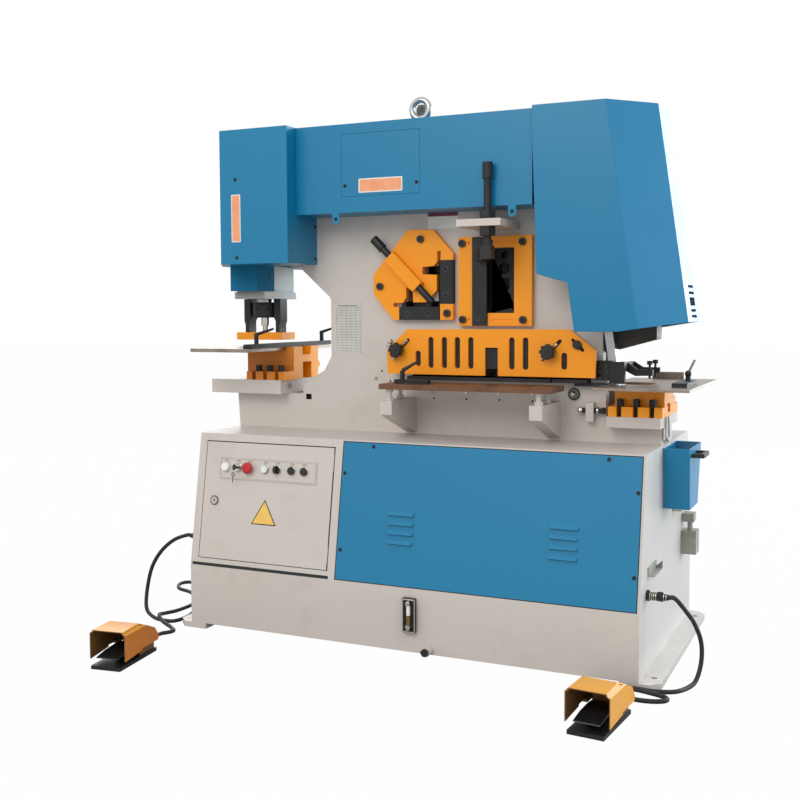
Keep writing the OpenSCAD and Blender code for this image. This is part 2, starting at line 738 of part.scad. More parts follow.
// plan of the notch hood at height z above its foot, inset by t
module notch_prism(t, z0, z1) {
  sl = tan(lean);
  intersection() {
    translate([0, 0, notch_bot]) rotate([0, -lean, 0])
      translate([0, 0, -100]) linear_extrude(notch_top - notch_bot + 300)
        polygon([[200, -248 + t], [748 * cos(lean) - t * 0.4, -248 + t],
          [880 * cos(lean) - t, -101 + t * 0.4],
          [880 * cos(lean) - t, 101 - t * 0.4],
          [748 * cos(lean) - t * 0.4, 248 - t], [200, 248 - t]]);
    xz(-300, 300) polygon([[cover_x1 + 0.3, z1], [cover_x1 + 0.3, notch_top - 60],
      [422, 550], [477, 533], [524, 521], [546, z0], [1000, z0], [1000, z1]]);
  }
}
module notch_hood() color("#3a86b0") on_deck() difference() {
  notch_prism(0, notch_bot, notch_top);
  difference() {
    notch_prism(cover_t, notch_bot - 1, notch_top - cover_t);
    // left wall stays only beside the frame
    box(300, 1000, -300, 300, notch_bot + 700, notch_top + 5);
  }
  // the frame passes through
  box(380, 642, yf, yb, notch_bot - 1, frame_h + 1);
  // louvres in the end face
  for (k = [[509, 8], [488, 8], [460, 26], [431, 8], [412, 8]])
    box(820, 900, -22, 70, k[0] - k[1] / 2, k[0] + k[1] / 2);
}

module eye_bolt() color("#8b8d8f") on_deck() {
  difference() {
    union() {
      rod_z(-87, 0, cover_top, cover_top + 14, 26);
      rod_z(-87, 0, frame_h - 30, cover_top + 1, 14);
      translate([-87, 0, cover_top + 74]) rotate([90, 0, 0])
        rotate_extrude($fn = 48) translate([33, 0]) circle(r = 11, $fn = 24);
      rod_z(-87, 0, cover_top + 13, cover_top + 46, 12);
    }
    rod_y(-87, cover_top + 74, -30, 30, 23);
  }
}

// ------------------------------------------------------------ shear group
module blade_windows(e, y0, y1) {
  xz(y0, y1) angle_hole(e);
  xz(y0, y1) bar_hole(e);
}
module shear_beam() color("#3a3a3b") on_deck() difference() {
  union() {
    xz(-beam_y, beam_y) polygon([[piv_x - 52, 60], [piv_x - 52, 150],
      [-375, 420], [-270, 660], [-120, beam_top], [450, beam_top],
      [560, 650], [585, 500], [765, 470], [765, 338], [648, 306],
      [570, 285], [565, 238], [-85, 216], [-200, 150], [piv_x + 50, 60]]);
    rod_y(piv_x, piv_z, -beam_y, beam_y, boss_r);
  }
  rod_y(piv_x, piv_z, -beam_y - 1, beam_y + 1, pivot_r + fit);
  blade_windows(12, -beam_y - 1, beam_y + 1);
}

module pivot_shaft() color("#9b9da0") on_deck() {
  rod_y(piv_x, piv_z, yf, yb + 0.1, pivot_r);
  rod_y(piv_x, piv_z, yb, yb + 6, pivot_r + 8);
}

module shear_rod() color("#c9cbcd") on_deck() {
  rod_z(rod_x, 0, beam_top + 1, rod_cyl_z + 131, rod_r);
  rod_z(rod_x, 0, rod_cyl_z + 130, rod_cyl_z + 165, rod_piston_r);
}

module moving_blades() color("#2b2b2d") on_deck() {
  // plate blade with its rake
  xz(-blade_y, -beam_y) polygon([[-85, 216], [565, 238], [565, 292], [-85, 270]]);
  // angle blade round its opening
  difference() {
    xz(-blade_y, -beam_y) polygon([[-165, 415], [70, 415], [70, 645],
      [-60, 645], [-165, 545]]);
    xz(-blade_y - 1, -beam_y + 1) angle_hole(0);
  }
  // bar blade with square and round holes
  difference() {
    box(180, 326, -blade_y, -beam_y, 405, 665);
    bar_ports(-blade_y - 1, -beam_y + 1, 0.5);
  }
}
module bar_ports(y0, y1, e) {
  for (p = [[253, 466, 24], [253, 524, 19]]) 
    box(p[0] - p[2] - e, p[0] + p[2] + e, y0, y1, p[1] - p[2] - e, p[1] + p[2] + e);
  rod_y(253, 577, y0, y1, 20 + e);
  rod_y(253, 622, y0, y1, 13 + e);
}

module fixed_blades() color("#262628") on_deck() {
  // lower blade of the plate shear, with its holder
  box(-77, 440, pad_y - guard_t, -gap_h, slit_z, slit_z + blade_h);
  box(441, 560, pad_y, -gap_h, slit_z, slit_z + blade_h);
  // right-hand blade holder
  box(513, 626, yf - 30, yf, 184, slit_z);
  // angle blades
  box(34.3, 80, gy, -gap_h, 457, 607.7);
  box(-121.7, 31, gy, -gap_h, 402, 448);
  // guide bar in the groove of the yellow frame, and the window's liner
  box(155.5, 208.5, gy - 9, gy + 11.5, 383, 682);
  box(203.3, 208.5, gy + 11.4, -gap_h - 25, 426, 644);
  // bar blade
  difference() {
    box(203, 303, -gap_h - 25, -gap_h, 425, 645);
    bar_ports(-gap_h - 26, -gap_h + 1, 0);
  }
}

module angle_plate() color("#f09a24") on_deck() difference() {
  union() {
    xz(gy, yf) polygon([[-222, 561], [-88, 716], [8, 713], [83, 631],
      [82, 402], [-146, 402], [-221, 494]]);
    // block that carries the hold-down spindle
    translate([clamp_x, 0, clamp_z]) rotate([0, 45, 0])
      box(0, clamp_l, clamp_y - 15, gy + 0.01, -clamp_w / 2, clamp_w / 2);
  }
  xz(gy - 1, yf + 1) angle_profile();
  // seats of the two blades
  box(34, 84, gy - 1, yf + 1, 457, 608);
  box(-122, 34, gy - 1, yf + 1, 401, 448.1);
  translate([clamp_x, clamp_y, clamp_z]) rotate([0, 135, 0])
    translate([0, 0, -1]) cylinder(h = clamp_l + 2, r = clamp_r + run);
  for (p = [[-38, 682], [-195, 520], [61, 425]])
    rod_y(p[0], p[1], gy - 1, yf + 1, 5.1);
}

module angle_clamp() color("#2b2b2d") on_deck()
  translate([clamp_x, clamp_y, clamp_z]) rotate([0, 135, 0]) {
    translate([0, 0, -40]) cylinder(h = 266, r = clamp_r);
    translate([0, 0, -89]) cylinder(h = 50, r = clamp_r + 4);
    translate([0, 0, 225.9]) cylinder(h = 5, r1 = clamp_r, r2 = clamp_r - 4);
  }

module bar_frame() color("#f09a24") on_deck() difference() {
  box(103, 365, gy, yf, 381, 684);
  xz(gy - 1, yf + 1) bar_hole(0);
  box(155, 209, gy - 1, gy + 12, 380, 685);
  for (p = [[117, 662], [333, 663], [119, 403], [335, 402]])
    rod_y(p[0], p[1], gy - 1, yf + 1, 5.1);
  // milled grooves right of the guide bar and dowel holes left of it
  for (z = [400, 664]) box(226, 304, gy - 1, gy + 2.5, z - 4, z + 4);
  for (z = [403, 663]) rod_y(142, z, gy - 1, gy + 6, 5);
}

module bar_clamp() color("#2b2b2d") on_deck() {
  rod_z(screw_x, screw_y, 640, 860, screw_r);
  rod_z(screw_x, screw_y, 858, 911, 16.5);
  rod_z(screw_x, screw_y, 643, 662, 17);
  // shoe on the spindle, with its cranked arm back to the guide bar
  translate([0, 0, 600]) linear_extrude(43) polygon([
    [screw_x - 18, screw_y - 18], [screw_x + 18, screw_y - 18],
    [screw_x + 18, screw_y + 18], [214, gy - 10.5], [176, gy - 10.5],
    [screw_x - 18, screw_y + 16]]);
}

function guard_outline() = [[-77, 370], [505, 371], [592, 303],
  [590, 214], [-151, 214], [-154, 295]];
module guard_plate() color("#f09a24") on_deck() {
  guard_blank();
  // clamping bolt that rides in the plate's own slot
  bolt_y(534, pad_y - guard_t + 0.1, 318, 12, 8, 6, 11);
}
module guard_blank() difference() {
  xz(pad_y - guard_t, pad_y) polygon(guard_outline());
  for (x = [14, 64, 112, 161, 307, 355])
    slot_y(x, 246, 334, guard_slot, pad_y - guard_t - 1, pad_y + 1);
  slot_y(-34, 252, 286, guard_slot, pad_y - guard_t - 1, pad_y + 1);
  slot_y(487, 249, 285, guard_slot, pad_y - guard_t - 1, pad_y + 1);
  box(212, 258, pad_y - guard_t - 1, pad_y + 1, 200, 309);
  for (x = knob_x)
    slope_slot(x, 298, -34, 48, 13.2, pad_y - guard_t - 1, pad_y + 1, -45);
  slope_slot(532, 320, -23, 23, 11, pad_y - guard_t - 1, pad_y + 1, 45);
}

module star_knob(x, z) {
  y0 = pad_y - guard_t - 1.5;
  rod_y(x, z, y0 - 1, pad_y + 28, 6);
  rod_y(x, z, y0 - 12, y0, 13);
  rod_y(x, z, y0 - 37, y0 - 11, 20);
  for (a = [0:45:315]) translate([x, 0, z]) rotate([0, a, 0])
    rod_y(19.6, 0, y0 - 33, y0 - 14, 6.4);
  rod_y(x, z, y0 - 40, y0 - 36, 7);
}
module guard_knob_left() color("#1d1d1f") on_deck() star_knob(knob_x[0], 298);
module guard_knob_right() color("#1d1d1f") on_deck() star_knob(knob_x[1], 298);

table_z = slit_z - 7 - plank_t;
module shear_table() color("#8c7a6b") on_deck() {
  difference() {
    box(-114, 488, -300, pad_y - guard_t - 2, table_z, table_z + plank_t);
    for (x = [30, 400]) box(x - 5, x + 5, -280, -180, table_z + plank_t - 8,
      table_z + plank_t + 1);
  }
  // stop strip and its clamp lever
  box(-74, 50, -262, -240, table_z + plank_t, table_z + plank_t + 14);
  rod_z(-48, -251, table_z + plank_t + 14, table_z + plank_t + 44, 8);
  translate([-48, -251, table_z + plank_t + 44]) rotate([0, 60, 20])
    cylinder(h = 62, r1 = 7, r2 = 4);
}

module table_brackets() color("#c5bdb6") on_deck() {
  for (x = [-109, 416]) {
    yz(x, x + 43) polygon([[yf, 5], [-300, 84], [-300, 131], [yf, 131]]);
    for (y = [-275, -190]) {
      rod_z(x + 24, y, 131, table_z, 8);
      translate([x + 24, y, 131]) cylinder(h = 12, r = 15, $fn = 6);
      rod_z(x + 24, y, table_z - 9, table_z, 13);
    }
  }
}

// -------------------------------------------------------------- notching
module notch_bed() color("#c9c2bc") on_deck() {
  difference() {
    box(627, 801, -150, 141, notch_seat, ndie_z);
    for (x = ndie_bolts_x()) rod_z(x, -128, notch_seat + 10, ndie_z + 1, 6.3);
    box(690, 760, -30, 30, notch_seat - 1, ndie_z + 1);
  }
  // slug chute on the end face
  difference() {
    yz(801, 808) polygon([[-80, 88], [-34, 88], [-14, 20], [-40, 6],
      [-80, 24]]);
    yz(803, 809) polygon([[-74, 95], [-42, 95], [-24, 24], [-40, 14],
      [-70, 28]]);
  }
}

module notch_die() color("#f09a24") on_deck() difference() {
  union() {
    box(633, 807, -150, 110, ndie_z, ndie_z + 33);
    box(646, 805, -108, 45, ndie_z + 32, ntab_z);
    box(640, 805, 44, 80, ndie_z + 32, ndie_z + 55);
  }
  for (x = ndie_bolts_x()) {
    box(x - 8, x + 8, -151, -128, ndie_z - 1, ndie_z + 34);
    rod_z(x, -128, ndie_z - 1, ndie_z + 34, 8);
    rod_z(x, -120, ndie_z + 33, ndie_z + 70, 13);
  }
  // die opening and slug way
  box(680, 745, -80, 36, ndie_z + 20, ntab_z + 1);
  box(690, 760, -30, 30, ndie_z - 1, ndie_z + 21);
  box(632, 666, -94, -20, ndie_z + 40, ntab_z + 1);
  box(760, 808, -60, -20, ndie_z + 12, ndie_z + 40);
}

// sliding jaw that the rocking beam carries down its leaning ways
module notch_ram() color("#34373a") on_deck() {
  sl = tan(lean);
  xz(-88 , -beam_y) polygon([[nram_x - (440 - nram_z) * sl, 440],
    [nram_x + nram_w - (440 - nram_z) * sl, 440],
    [nram_x + nram_w + (nram_z - nram_bot) * sl, nram_bot],
    [nram_x + (nram_z - nram_bot) * sl, nram_bot]]);
}

module notch_stripper() color("#1f1f21") on_deck() {
  difference() {
    union() {
      box(581, 629, -112, yf - 0.01, 206, 269);
      box(628, 676, -112, -91, 197, 266);
      box(664, 676, -112, 42, 236, 262);
    }
    for (z = [222, 254]) rod_y(592, z, -113, -104, 5);
  }
  // fork arms, cranked down to the table
  xz(-60, -48) polygon([[664, 262], [675, 262], [706, 240], [757, 240],
    [757, 220], [700, 218], [664, 236]]);
  xz(30, 42) polygon([[664, 262], [676, 262], [706, 243], [762, 243],
    [762, 226], [700, 224], [664, 240]]);
  for (y = [-54, 36]) {
    rod_z(746, y, 210, 262, 4);
    rod_z(746, y, 256, 268, 9);
  }
}

module notch_table() color("#a49a90") on_deck() {
  difference() {
    box(612.4, 910, -271, 297, ntab_z, ntab_z + ntab_t);
    // window over the die
    box(611, 662, -126, 46, ntab_z - 1, ntab_z + ntab_t + 1);
    box(661, 752, -94, 46, ntab_z - 1, ntab_z + ntab_t + 1);
    // slot of the side stop
    box(762, 884, 2.5, 13.5, ntab_z - 1, ntab_z + ntab_t + 1);
  }
  // back stop
  box(690, 800, 262, 276, ntab_z + ntab_t, ntab_z + ntab_t + 24);
}

module notch_stop() color("#2b2d2f") on_deck() {
  z = ntab_z + ntab_t;
  difference() {
    box(836, 884, -160, 36, z + 0.01, z + 13);
    rod_z(862, 22, z - 1, z + 14, 5);
  }
  rod_z(858, 8, z - ntab_t, z + 13.1, 5);
  rod_z(858, 8, z + 13, z + 40, 8.5);
  translate([858, 8, z + 34]) sphere(r = 11, $fn = 32);
  translate([858, 8, z + 36]) rotate([0, 28, -20]) cylinder(h = 52, r = 4.5);
}

module punch_table() color("#a9a39b") on_deck() difference() {
  union() {
    box(-859, -610, -330, 281, table_top - table_t, table_top);
    box(-760, -640, 109, 129, table_top - table_t - 28, table_top - 1);
  }
  box(punch_x - 35.3, -609, -76, 109, table_top - table_t - 30, table_top + 1);
  for (y = [-266, 217])
    box(-840, -630, y - 5.5, y + 5.5, table_top - table_t - 1, table_top + 1);
}

module clamp_lever(x, y, z, a) {
  rod_z(x, y, z, z + 30, 8);
  translate([x, y, z + 29]) cylinder(h = 10, r1 = 10, r2 = 7);
  translate([x, y, z + 34]) rotate([0, 72, a]) cylinder(h = 66, r1 = 6, r2 = 4);
}
module punch_fence() color("#2b2d2f") on_deck() {
  box(-632, -602, -330, 268, table_top, table_top + 16);
  clamp_lever(-617, -266, table_top + 16, 40);
  clamp_lever(-617, 217, table_top + 16, 40);
}

// ------------------------------------------------------- right end pieces
module scrap_bin() color("#2f80ae") on_deck() translate([half_l, 0, 0]) {
  difference() {
    yz(0.3, 85) polygon([[-100, -9], [118, -9], [60, -206], [-88, -206]]);
    yz(4, 82) polygon([[-97, -8], [114.5, -8], [57, -203], [-85.5, -203]]);
  }
  // handle
  difference() {
    box(85, 125, -70, 30, -40, -26);
    box(84, 113, -58, 18, -41, -25);
  }
}

module gland(x, y, z, s) {
  translate([x, y, z]) rotate([0, s * 90, 0]) {
    cylinder(h = 10, r = 17, $fn = 6);
    translate([0, 0, 9]) cylinder(h = 26, r = 13);
    translate([0, 0, 34]) cylinder(h = 16, r = 15, $fn = 6);
    translate([0, 0, 49]) cylinder(h = 18, r1 = 12, r2 = 8.5);
  }
}
module electrical_fittings() color("#8e9193") {
  gland(half_l, -330, 262, 1);
  gland(-half_l, -330, 306, -1);
  // socket box with its entry
  box(half_l, half_l + 52, 242, 306, 270, 352);
  rod_z(half_l + 26, 274, 351, 384, 9);
  box(half_l, half_l + 42, 250, 300, 383, 412);
  // storage rails with end gussets
  for (p = [[-318, -196, 317, 22], [70, 330, 452, 30]]) {
    box(half_l, half_l + 3, p[0], p[1], p[2], p[2] + 26);
    box(half_l, half_l + p[3], p[0], p[1], p[2], p[2] + 3);
    translate([0, p[1] - 3, 0]) xz(0, 3) polygon([[half_l, p[2]],
      [half_l + p[3], p[2]], [half_l + p[3], p[2] + 26], [half_l, p[2] + 6]]);
  }
}

// ----------------------------------------------------------- foot pedals
module place_pedal(right) {
  p = right ? pedal_right : pedal_left;
  translate([p[0], p[1], 0]) rotate([0, 0, p[2]]) translate([0, -238, 0])
    children();
}
// cord entry of each pedal, and its turn
pedal_left = [-802, -692, 7.5];
pedal_right = [770, -602, -5.5];
entry_z = 46;
tread_z = 34;
tread_y = 150;
module pedal_housing() {
  // base, open well for the treadle
  difference() {
    union() {
      box(-52, 52, 0, 224, 0, 12);
      box(-46, 46, 128, 218, 11, 36);
      box(-46, 46, 178, 216, 35, 60);
      rod_y(0, entry_z, 215, 238, 7.5);
    }
    box(-41, 41, 120, 177, 12.5, 60);
  }
  // folded hood over the treadle
  difference() {
    yz(-64, 64) polygon([[14, 28], [14, 122], [112, 124], [196, 88],
      [222, 52], [214, 42], [116, 42], [116, 36]]);
    difference() {
      yz(-61, 61) polygon([[10, 20], [10, 119], [111, 121], [194, 85.5],
        [219, 51], [212, 20]]);
    }
    rod_y(0, entry_z, 190, 240, 9);
    // chamfers along the upper edges
    for (s = [-1, 1]) translate([s * 64, 100, 124]) rotate([0, 45, 0])
      cube([18, 300, 18], center = true);
  }
  for (s = [-1, 1]) intersection() {
    translate([s * 55.6, 78, 114.2]) rotate([0, s * 45, 0])
      cube([16, 128, 2.6], center = true);
    yz(-64, 64) polygon([[14, 28], [14, 122], [112, 124], [196, 88]]);
  }
  for (s = [-1, 1]) box(s * 53.5 - 8, s * 53.5 + 8, 140, 200, 42, 50);
}
module pedal_housings() color("#f0922a") {
  place_pedal(false) pedal_housing();
  place_pedal(true) pedal_housing();
}
module treadle() {
  yz(-38, 38) polygon([[8, 34], [10, 37], [60, 46], [120, 49], [158, 46],
    [160, 40], [152, 34], [110, 40], [60, 38]]);
  rod_x(tread_y, tread_z + 6, -40.6, 40.6, 5);
}
module treadle_left() color("#2a2a2b") place_pedal(false) treadle();
module treadle_right() color("#2a2a2b") place_pedal(true) treadle();

// -------------------------------------------------------- inside the base
module power_pack() color("#6f7476") {
  // motor on its feet
  rod_x(60, tank_z + 130, wall_x + 120, wall_x + 420, 95);
  for (x = [wall_x + 160, wall_x + 350])
    box(x, x + 40, -40, 160, tank_z, tank_z + 60);
  // pump and coupling housing
  rod_x(60, tank_z + 130, wall_x + 419, wall_x + 480, 60);
  rod_x(60, tank_z + 130, wall_x + 479, wall_x + 560, 45);
  // valve block
  box(wall_x + 620, wall_x + 780, -20, 120, tank_z, tank_z + 120);
  for (y = [10, 90]) rod_z(wall_x + 660, y, tank_z + 119, tank_z + 190, 20);
  // contactor plate in the switch compartment
  box(door_x0 + 30, door_x1 - 40, 180, 184, tank_z, deck_z - 40);
  for (i = [0:5]) box(door_x0 + 60 + i * 66, door_x0 + 110 + i * 66,
    100, 181, tank_z + 180, tank_z + 260);
}

// ------------------------------------------------------------------ cords
cord_d = 14;
function cat(p, q, r, s, t) = 0.5 * ((2 * q) + (r - p) * t
  + (2 * p - 5 * q + 4 * r - s) * t * t
  + (3 * q - p - 3 * r + s) * t * t * t);
function smooth(p, n) = [for (i = [0:len(p) - 2]) for (k = [0:n - 1])
  cat(p[max(i - 1, 0)], p[i], p[i + 1], p[min(i + 2, len(p) - 1)], k / n),
  p[len(p) - 1]];
function unit(v) = v / norm(v);
function tangent(p, i) = unit(p[min(i + 1, len(p) - 1)] - p[max(i - 1, 0)]);
function side(t) = norm(cross(t, [0, 0, 1])) < 0.05 ? [1, 0, 0]
  : unit(cross(t, [0, 0, 1]));
function ring(c, t, r, m) = let (u = side(t), v = cross(u, t))
  [for (k = [0:m - 1]) c + r * (cos(360 * k / m) * u + sin(360 * k / m) * v)];
// d0 and d1 are the directions at the two ends
module tube(p, d, d0, d1) {
  m = 8;
  n = len(p);
  pts = [for (i = [0:n - 1]) each ring(p[i],
    i == 0 ? d0 : i == n - 1 ? d1 : tangent(p, i), d / 2, m)];
  quads = [for (i = [0:n - 2]) for (k = [0:m - 1])
    [i * m + k, i * m + (k + 1) % m, (i + 1) * m + (k + 1) % m, (i + 1) * m + k]];
  polyhedron(pts, concat([[for (k = [m - 1:-1:0]) k]], quads,
    [[for (k = [0:m - 1]) (n - 1) * m + k]]));
}
route_left = [
  [-867, -330, 306], [-888, -330, 306], [-945, -335, 283],
  [-1000, -339, 236], [-1038, -345, 173], [-1056, -352, 90],
  [-1045, -372, 28], [-1000, -398, 9], [-940, -424, 8.3],
  [-890, -420, 8.3], [-876, -370, 8.3], [-890, -300, 8.3],
  [-960, -150, 8.3], [-1060, 10, 8.3], [-1150, 70, 8.3], [-1190, 40, 8.3],
  [-1150, -30, 8.3], [-1060, -70, 8.3], [-965, -180, 8.3],
  [-958, -290, 8.3], [-966, -370, 15], [-950, -420, 25], [-910, -455, 16],
  [-850, -485, 8.3], [-815, -520, 8.3], [-835, -560, 8.3],
  [-826, -606, 14], [-810, -648, 34], [-804, -676, 44],
  [-802, -692, 46]];
route_right = [
  [867, -330, 262], [886, -330, 261], [915, -322, 226], [940, -310, 186],
  [958, -298, 130], [960, -300, 70], [950, -325, 20], [935, -365, 8.3],
  [905, -420, 8.3], [850, -442, 8.3], [800, -441, 8.3], [740, -442, 8.3],
  [680, -455, 8.3], [668, -490, 10], [690, -520, 15], [740, -480, 20],
  [790, -462, 14], [850, -462, 8.3], [890, -480, 8.3], [893, -505, 8.3],
  [860, -525, 8.3], [810, -536, 11], [776, -560, 28], [771, -586, 44],
  [770, -602, 46]];
module cord_left() color("#1b1b1c") 
  tube(smooth(route_left, 2), cord_d, [-1, 0, 0],
    [sin(pedal_left[2]), -cos(pedal_left[2]), 0]);
module cord_right() color("#1b1b1c") 
  tube(smooth(route_right, 2), cord_d, [1, 0, 0],
    [sin(pedal_right[2]), -cos(pedal_right[2]), 0]);

// ------------------------------------------------------------------ output
base_cabinet();
control_door();
button_plate();
signal_lamp();
key_switch();
mushroom_button();
start_button();
selector_knob();
jog_button_left();
jog_button_right();
door_lock();
front_panel();
tank_fittings();
frame_front();
frame_rear();
punch_bed();
die_block();
fasteners();
punch_guide();
hydraulic_cylinders();
punch_ram();
coupling_nut();
punch_tool();
stripper_bracket();
stripper_plate();
ram_cover();
punch_hood();
beam_cover();
notch_hood();
eye_bolt();
shear_beam();
pivot_shaft();
shear_rod();
angle_plate();
angle_clamp();
fixed_blades();
moving_blades();
bar_frame();
bar_clamp();
guard_plate();
guard_knob_left();
guard_knob_right();
shear_table();
table_brackets();
notch_bed();
notch_die();
notch_ram();
notch_stripper();
notch_table();
notch_stop();
punch_table();
punch_fence();
scrap_bin();
electrical_fittings();
pedal_housings();
treadle_left();
treadle_right();
power_pack();
cord_left();
cord_right();
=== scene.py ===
"""Hydraulic ironworker: punching, angle, bar and plate shearing and notching stations on a twin-plate frame
over a sheet-steel cabinet. Metres, +Z up, +X along the machine, the operator stands at -Y."""
import json
import math

import bmesh
import bpy
from mathutils import Matrix, Vector


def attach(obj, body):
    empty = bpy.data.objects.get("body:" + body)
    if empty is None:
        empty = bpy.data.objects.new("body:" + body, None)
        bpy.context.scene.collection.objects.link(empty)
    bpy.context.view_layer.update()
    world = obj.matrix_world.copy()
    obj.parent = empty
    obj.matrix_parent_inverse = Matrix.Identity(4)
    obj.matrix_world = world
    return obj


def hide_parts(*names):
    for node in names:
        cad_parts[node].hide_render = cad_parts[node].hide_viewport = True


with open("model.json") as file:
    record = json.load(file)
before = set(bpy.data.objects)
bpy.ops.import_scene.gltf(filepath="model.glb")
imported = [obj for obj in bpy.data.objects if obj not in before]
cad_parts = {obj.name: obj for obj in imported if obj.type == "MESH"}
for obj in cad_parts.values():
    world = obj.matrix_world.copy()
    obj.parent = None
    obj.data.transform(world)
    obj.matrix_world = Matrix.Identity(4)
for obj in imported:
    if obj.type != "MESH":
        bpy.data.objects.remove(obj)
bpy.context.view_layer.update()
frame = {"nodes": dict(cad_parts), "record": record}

NODES = frame["nodes"]
BODY_OF = {n: b for b, members in frame["record"]["behaviour"]["bodies"].items() for n in members}
MACHINE = "machine"
MM = 0.001

# The cabinet's deck and the foot of its sloping front: how high each is and how far it reaches out, in metres
DECK_Z, SLOPE_Z = 0.693, 0.229
DECK_REACH, SLOPE_REACH = 0.352, 0.430
SLOPE = math.atan((SLOPE_REACH - DECK_REACH) / (DECK_Z - SLOPE_Z))
# Places that the machine's parts are measured from: the floor, the cabinet's deck, and the sloping front
# (X along it, Z up the slope, -Y out of it)
FLOOR = Matrix()
DECK = Matrix.Translation((0, 0, DECK_Z))
FRONT = Matrix.Translation((0, -SLOPE_REACH, SLOPE_Z)) @ Matrix.Rotation(-SLOPE, 4, "X")

# ---------------------------------------------------------------- camera
CAMERA_AT = (1.46433, -3.54821, 1.12657)
CAMERA_RIGHT = Vector((0.91025574, 0.41402432, -0.00428381))
CAMERA_UP = Vector((-0.02264214, 0.06010543, 0.9979352))


def place_camera():
    cam = bpy.data.objects.new("camera", bpy.data.cameras.new("camera"))
    bpy.context.scene.collection.objects.link(cam)
    turn = Matrix((CAMERA_RIGHT, CAMERA_UP, CAMERA_RIGHT.cross(CAMERA_UP))).transposed()
    cam.matrix_world = Matrix.Translation(CAMERA_AT) @ turn.to_4x4()
    cam.data.sensor_width = 36
    cam.data.lens = 48.242
    cam.data.shift_x = -0.00687
    cam.data.shift_y = -0.02535
    cam.data.clip_end = 60
    bpy.context.scene.camera = cam


place_camera()

# ---------------------------------------------------------------- pedal cords
CORD_D = 0.014
CORD_STEPS = 6
# height of a cord's middle where it lies on the floor, in millimetres
LIES = 8.3
# Routes of the two pedal cords, in millimetres: the same points as the frame's own cords
ROUTE_LEFT = [
    (-867, -330, 306), (-888, -330, 306), (-945, -335, 283), (-1000, -339, 236), (-1038, -345, 173),
    (-1056, -352, 90), (-1045, -372, 28), (-1000, -398, 9), (-940, -424, LIES), (-890, -420, LIES),
    (-876, -370, LIES), (-890, -300, LIES), (-960, -150, LIES), (-1060, 10, LIES), (-1150, 70, LIES),
    (-1190, 40, LIES), (-1150, -30, LIES), (-1060, -70, LIES), (-965, -180, LIES), (-958, -290, LIES),
    (-966, -370, 15), (-950, -420, 25), (-910, -455, 16), (-850, -485, LIES), (-815, -520, LIES),
    (-835, -560, LIES), (-826, -606, 14), (-810, -648, 34), (-804, -676, 44), (-802, -692, 46)]
ROUTE_RIGHT = [
    (867, -330, 262), (886, -330, 261), (915, -322, 226), (940, -310, 186), (958, -298, 130),
    (960, -300, 70), (950, -325, 20), (935, -365, LIES), (905, -420, LIES), (850, -442, LIES),
    (800, -441, LIES), (740, -442, LIES), (680, -455, LIES), (668, -490, 10), (690, -520, 15),
    (740, -480, 20), (790, -462, 14), (850, -462, LIES), (890, -480, LIES), (893, -505, LIES),
    (860, -525, LIES), (810, -536, 11), (776, -560, 28), (771, -586, 44), (770, -602, 46)]


def smooth_route(points, steps):
    """Points along a Catmull-Rom curve through the given ones, in metres."""
    p = [Vector(q) * MM for q in points]
    out = []
    for i in range(len(p) - 1):
        a, b, c, d = p[max(i - 1, 0)], p[i], p[i + 1], p[min(i + 2, len(p) - 1)]
        for k in range(steps):
            t = k / steps
            out.append(0.5 * (2 * b + (c - a) * t + (2 * a - 5 * b + 4 * c - d) * t * t
                              + (3 * b - a - 3 * c + d) * t ** 3))
    return out + [p[-1]]


def lay_cord(name, points):
    route = smooth_route(points, CORD_STEPS)
    data = bpy.data.curves.new(name, "CURVE")
    data.dimensions = "3D"
    data.bevel_depth = CORD_D / 2
    data.bevel_resolution = 3
    data.use_fill_caps = True
    line = data.splines.new("POLY")
    line.points.add(len(route) - 1)
    for point, q in zip(line.points, route):
        point.co = (*q, 1)
    cord = bpy.data.objects.new(name, data)
    bpy.context.scene.collection.objects.link(cord)
    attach(cord, MACHINE)
    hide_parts(name)
    return cord


cord_left = lay_cord("cord_left", ROUTE_LEFT)
cord_right = lay_cord("cord_right", ROUTE_RIGHT)
cord_left.name, cord_right.name = "pedal_cord_left", "pedal_cord_right"

# ---------------------------------------------------------------- materials
# How fine each pattern is, in features per metre
PASSES = 1.7          # of the spray gun, about 600 mm apart
HANDLING = 6.0        # duller and glossier places, about 170 mm across
SMEARS = 7.0          # of oil and dirt, about 140 mm
PEEL = 160.0          # orange peel, drawn coarser than the real one, about 6 mm, so that it shows
OIL_PATCHES = 14.0    # on bare steel, about 70 mm
MOTTLE = 30.0         # in moulded pieces, about 30 mm
# How much of the colour of grime covers a clean place and a greasy one
CLEAN, GREASY = (0, 0, 0, 1), (0.55, 0.55, 0.55, 1)


def linear(code):
    parts = [int(code[i:i + 2], 16) / 255 for i in (1, 3, 5)]
    return tuple(c / 12.92 if c <= 0.04045 else ((c + 0.055) / 1.055) ** 2.4 for c in parts) + (1,)


def add(tree, kind, settings=None, stops=(), **inputs):
    """Adds a node: settings are its properties, stops the places and colours of a ramp, and inputs its sockets
    by name, or by number as in _0, each a value or a socket to link."""
    made = tree.nodes.new("ShaderNode" + kind)
    for key, value in (settings or {}).items():
        setattr(made, key, value)
    for index, (at, colour) in enumerate(stops):
        made.color_ramp.elements[index].position = at
        made.color_ramp.elements[index].color = colour
    for key, value in inputs.items():
        socket = made.inputs[int(key[1:]) if key[0] == "_" else key.replace("_", " ")]
        if isinstance(value, bpy.types.NodeSocket):
            tree.links.new(value, socket)
        else:
            socket.default_value = value
    return made


def start(name):
    material = bpy.data.materials.new(name)
    material.use_nodes = True
    tree = material.node_tree
    tree.nodes.clear()
    out = add(tree, "OutputMaterial")
    shader = add(tree, "BsdfPrincipled")
    tree.links.new(shader.outputs[0], out.inputs[0])
    place = add(tree, "TexCoord").outputs["Object"]
    return material, tree, shader, place


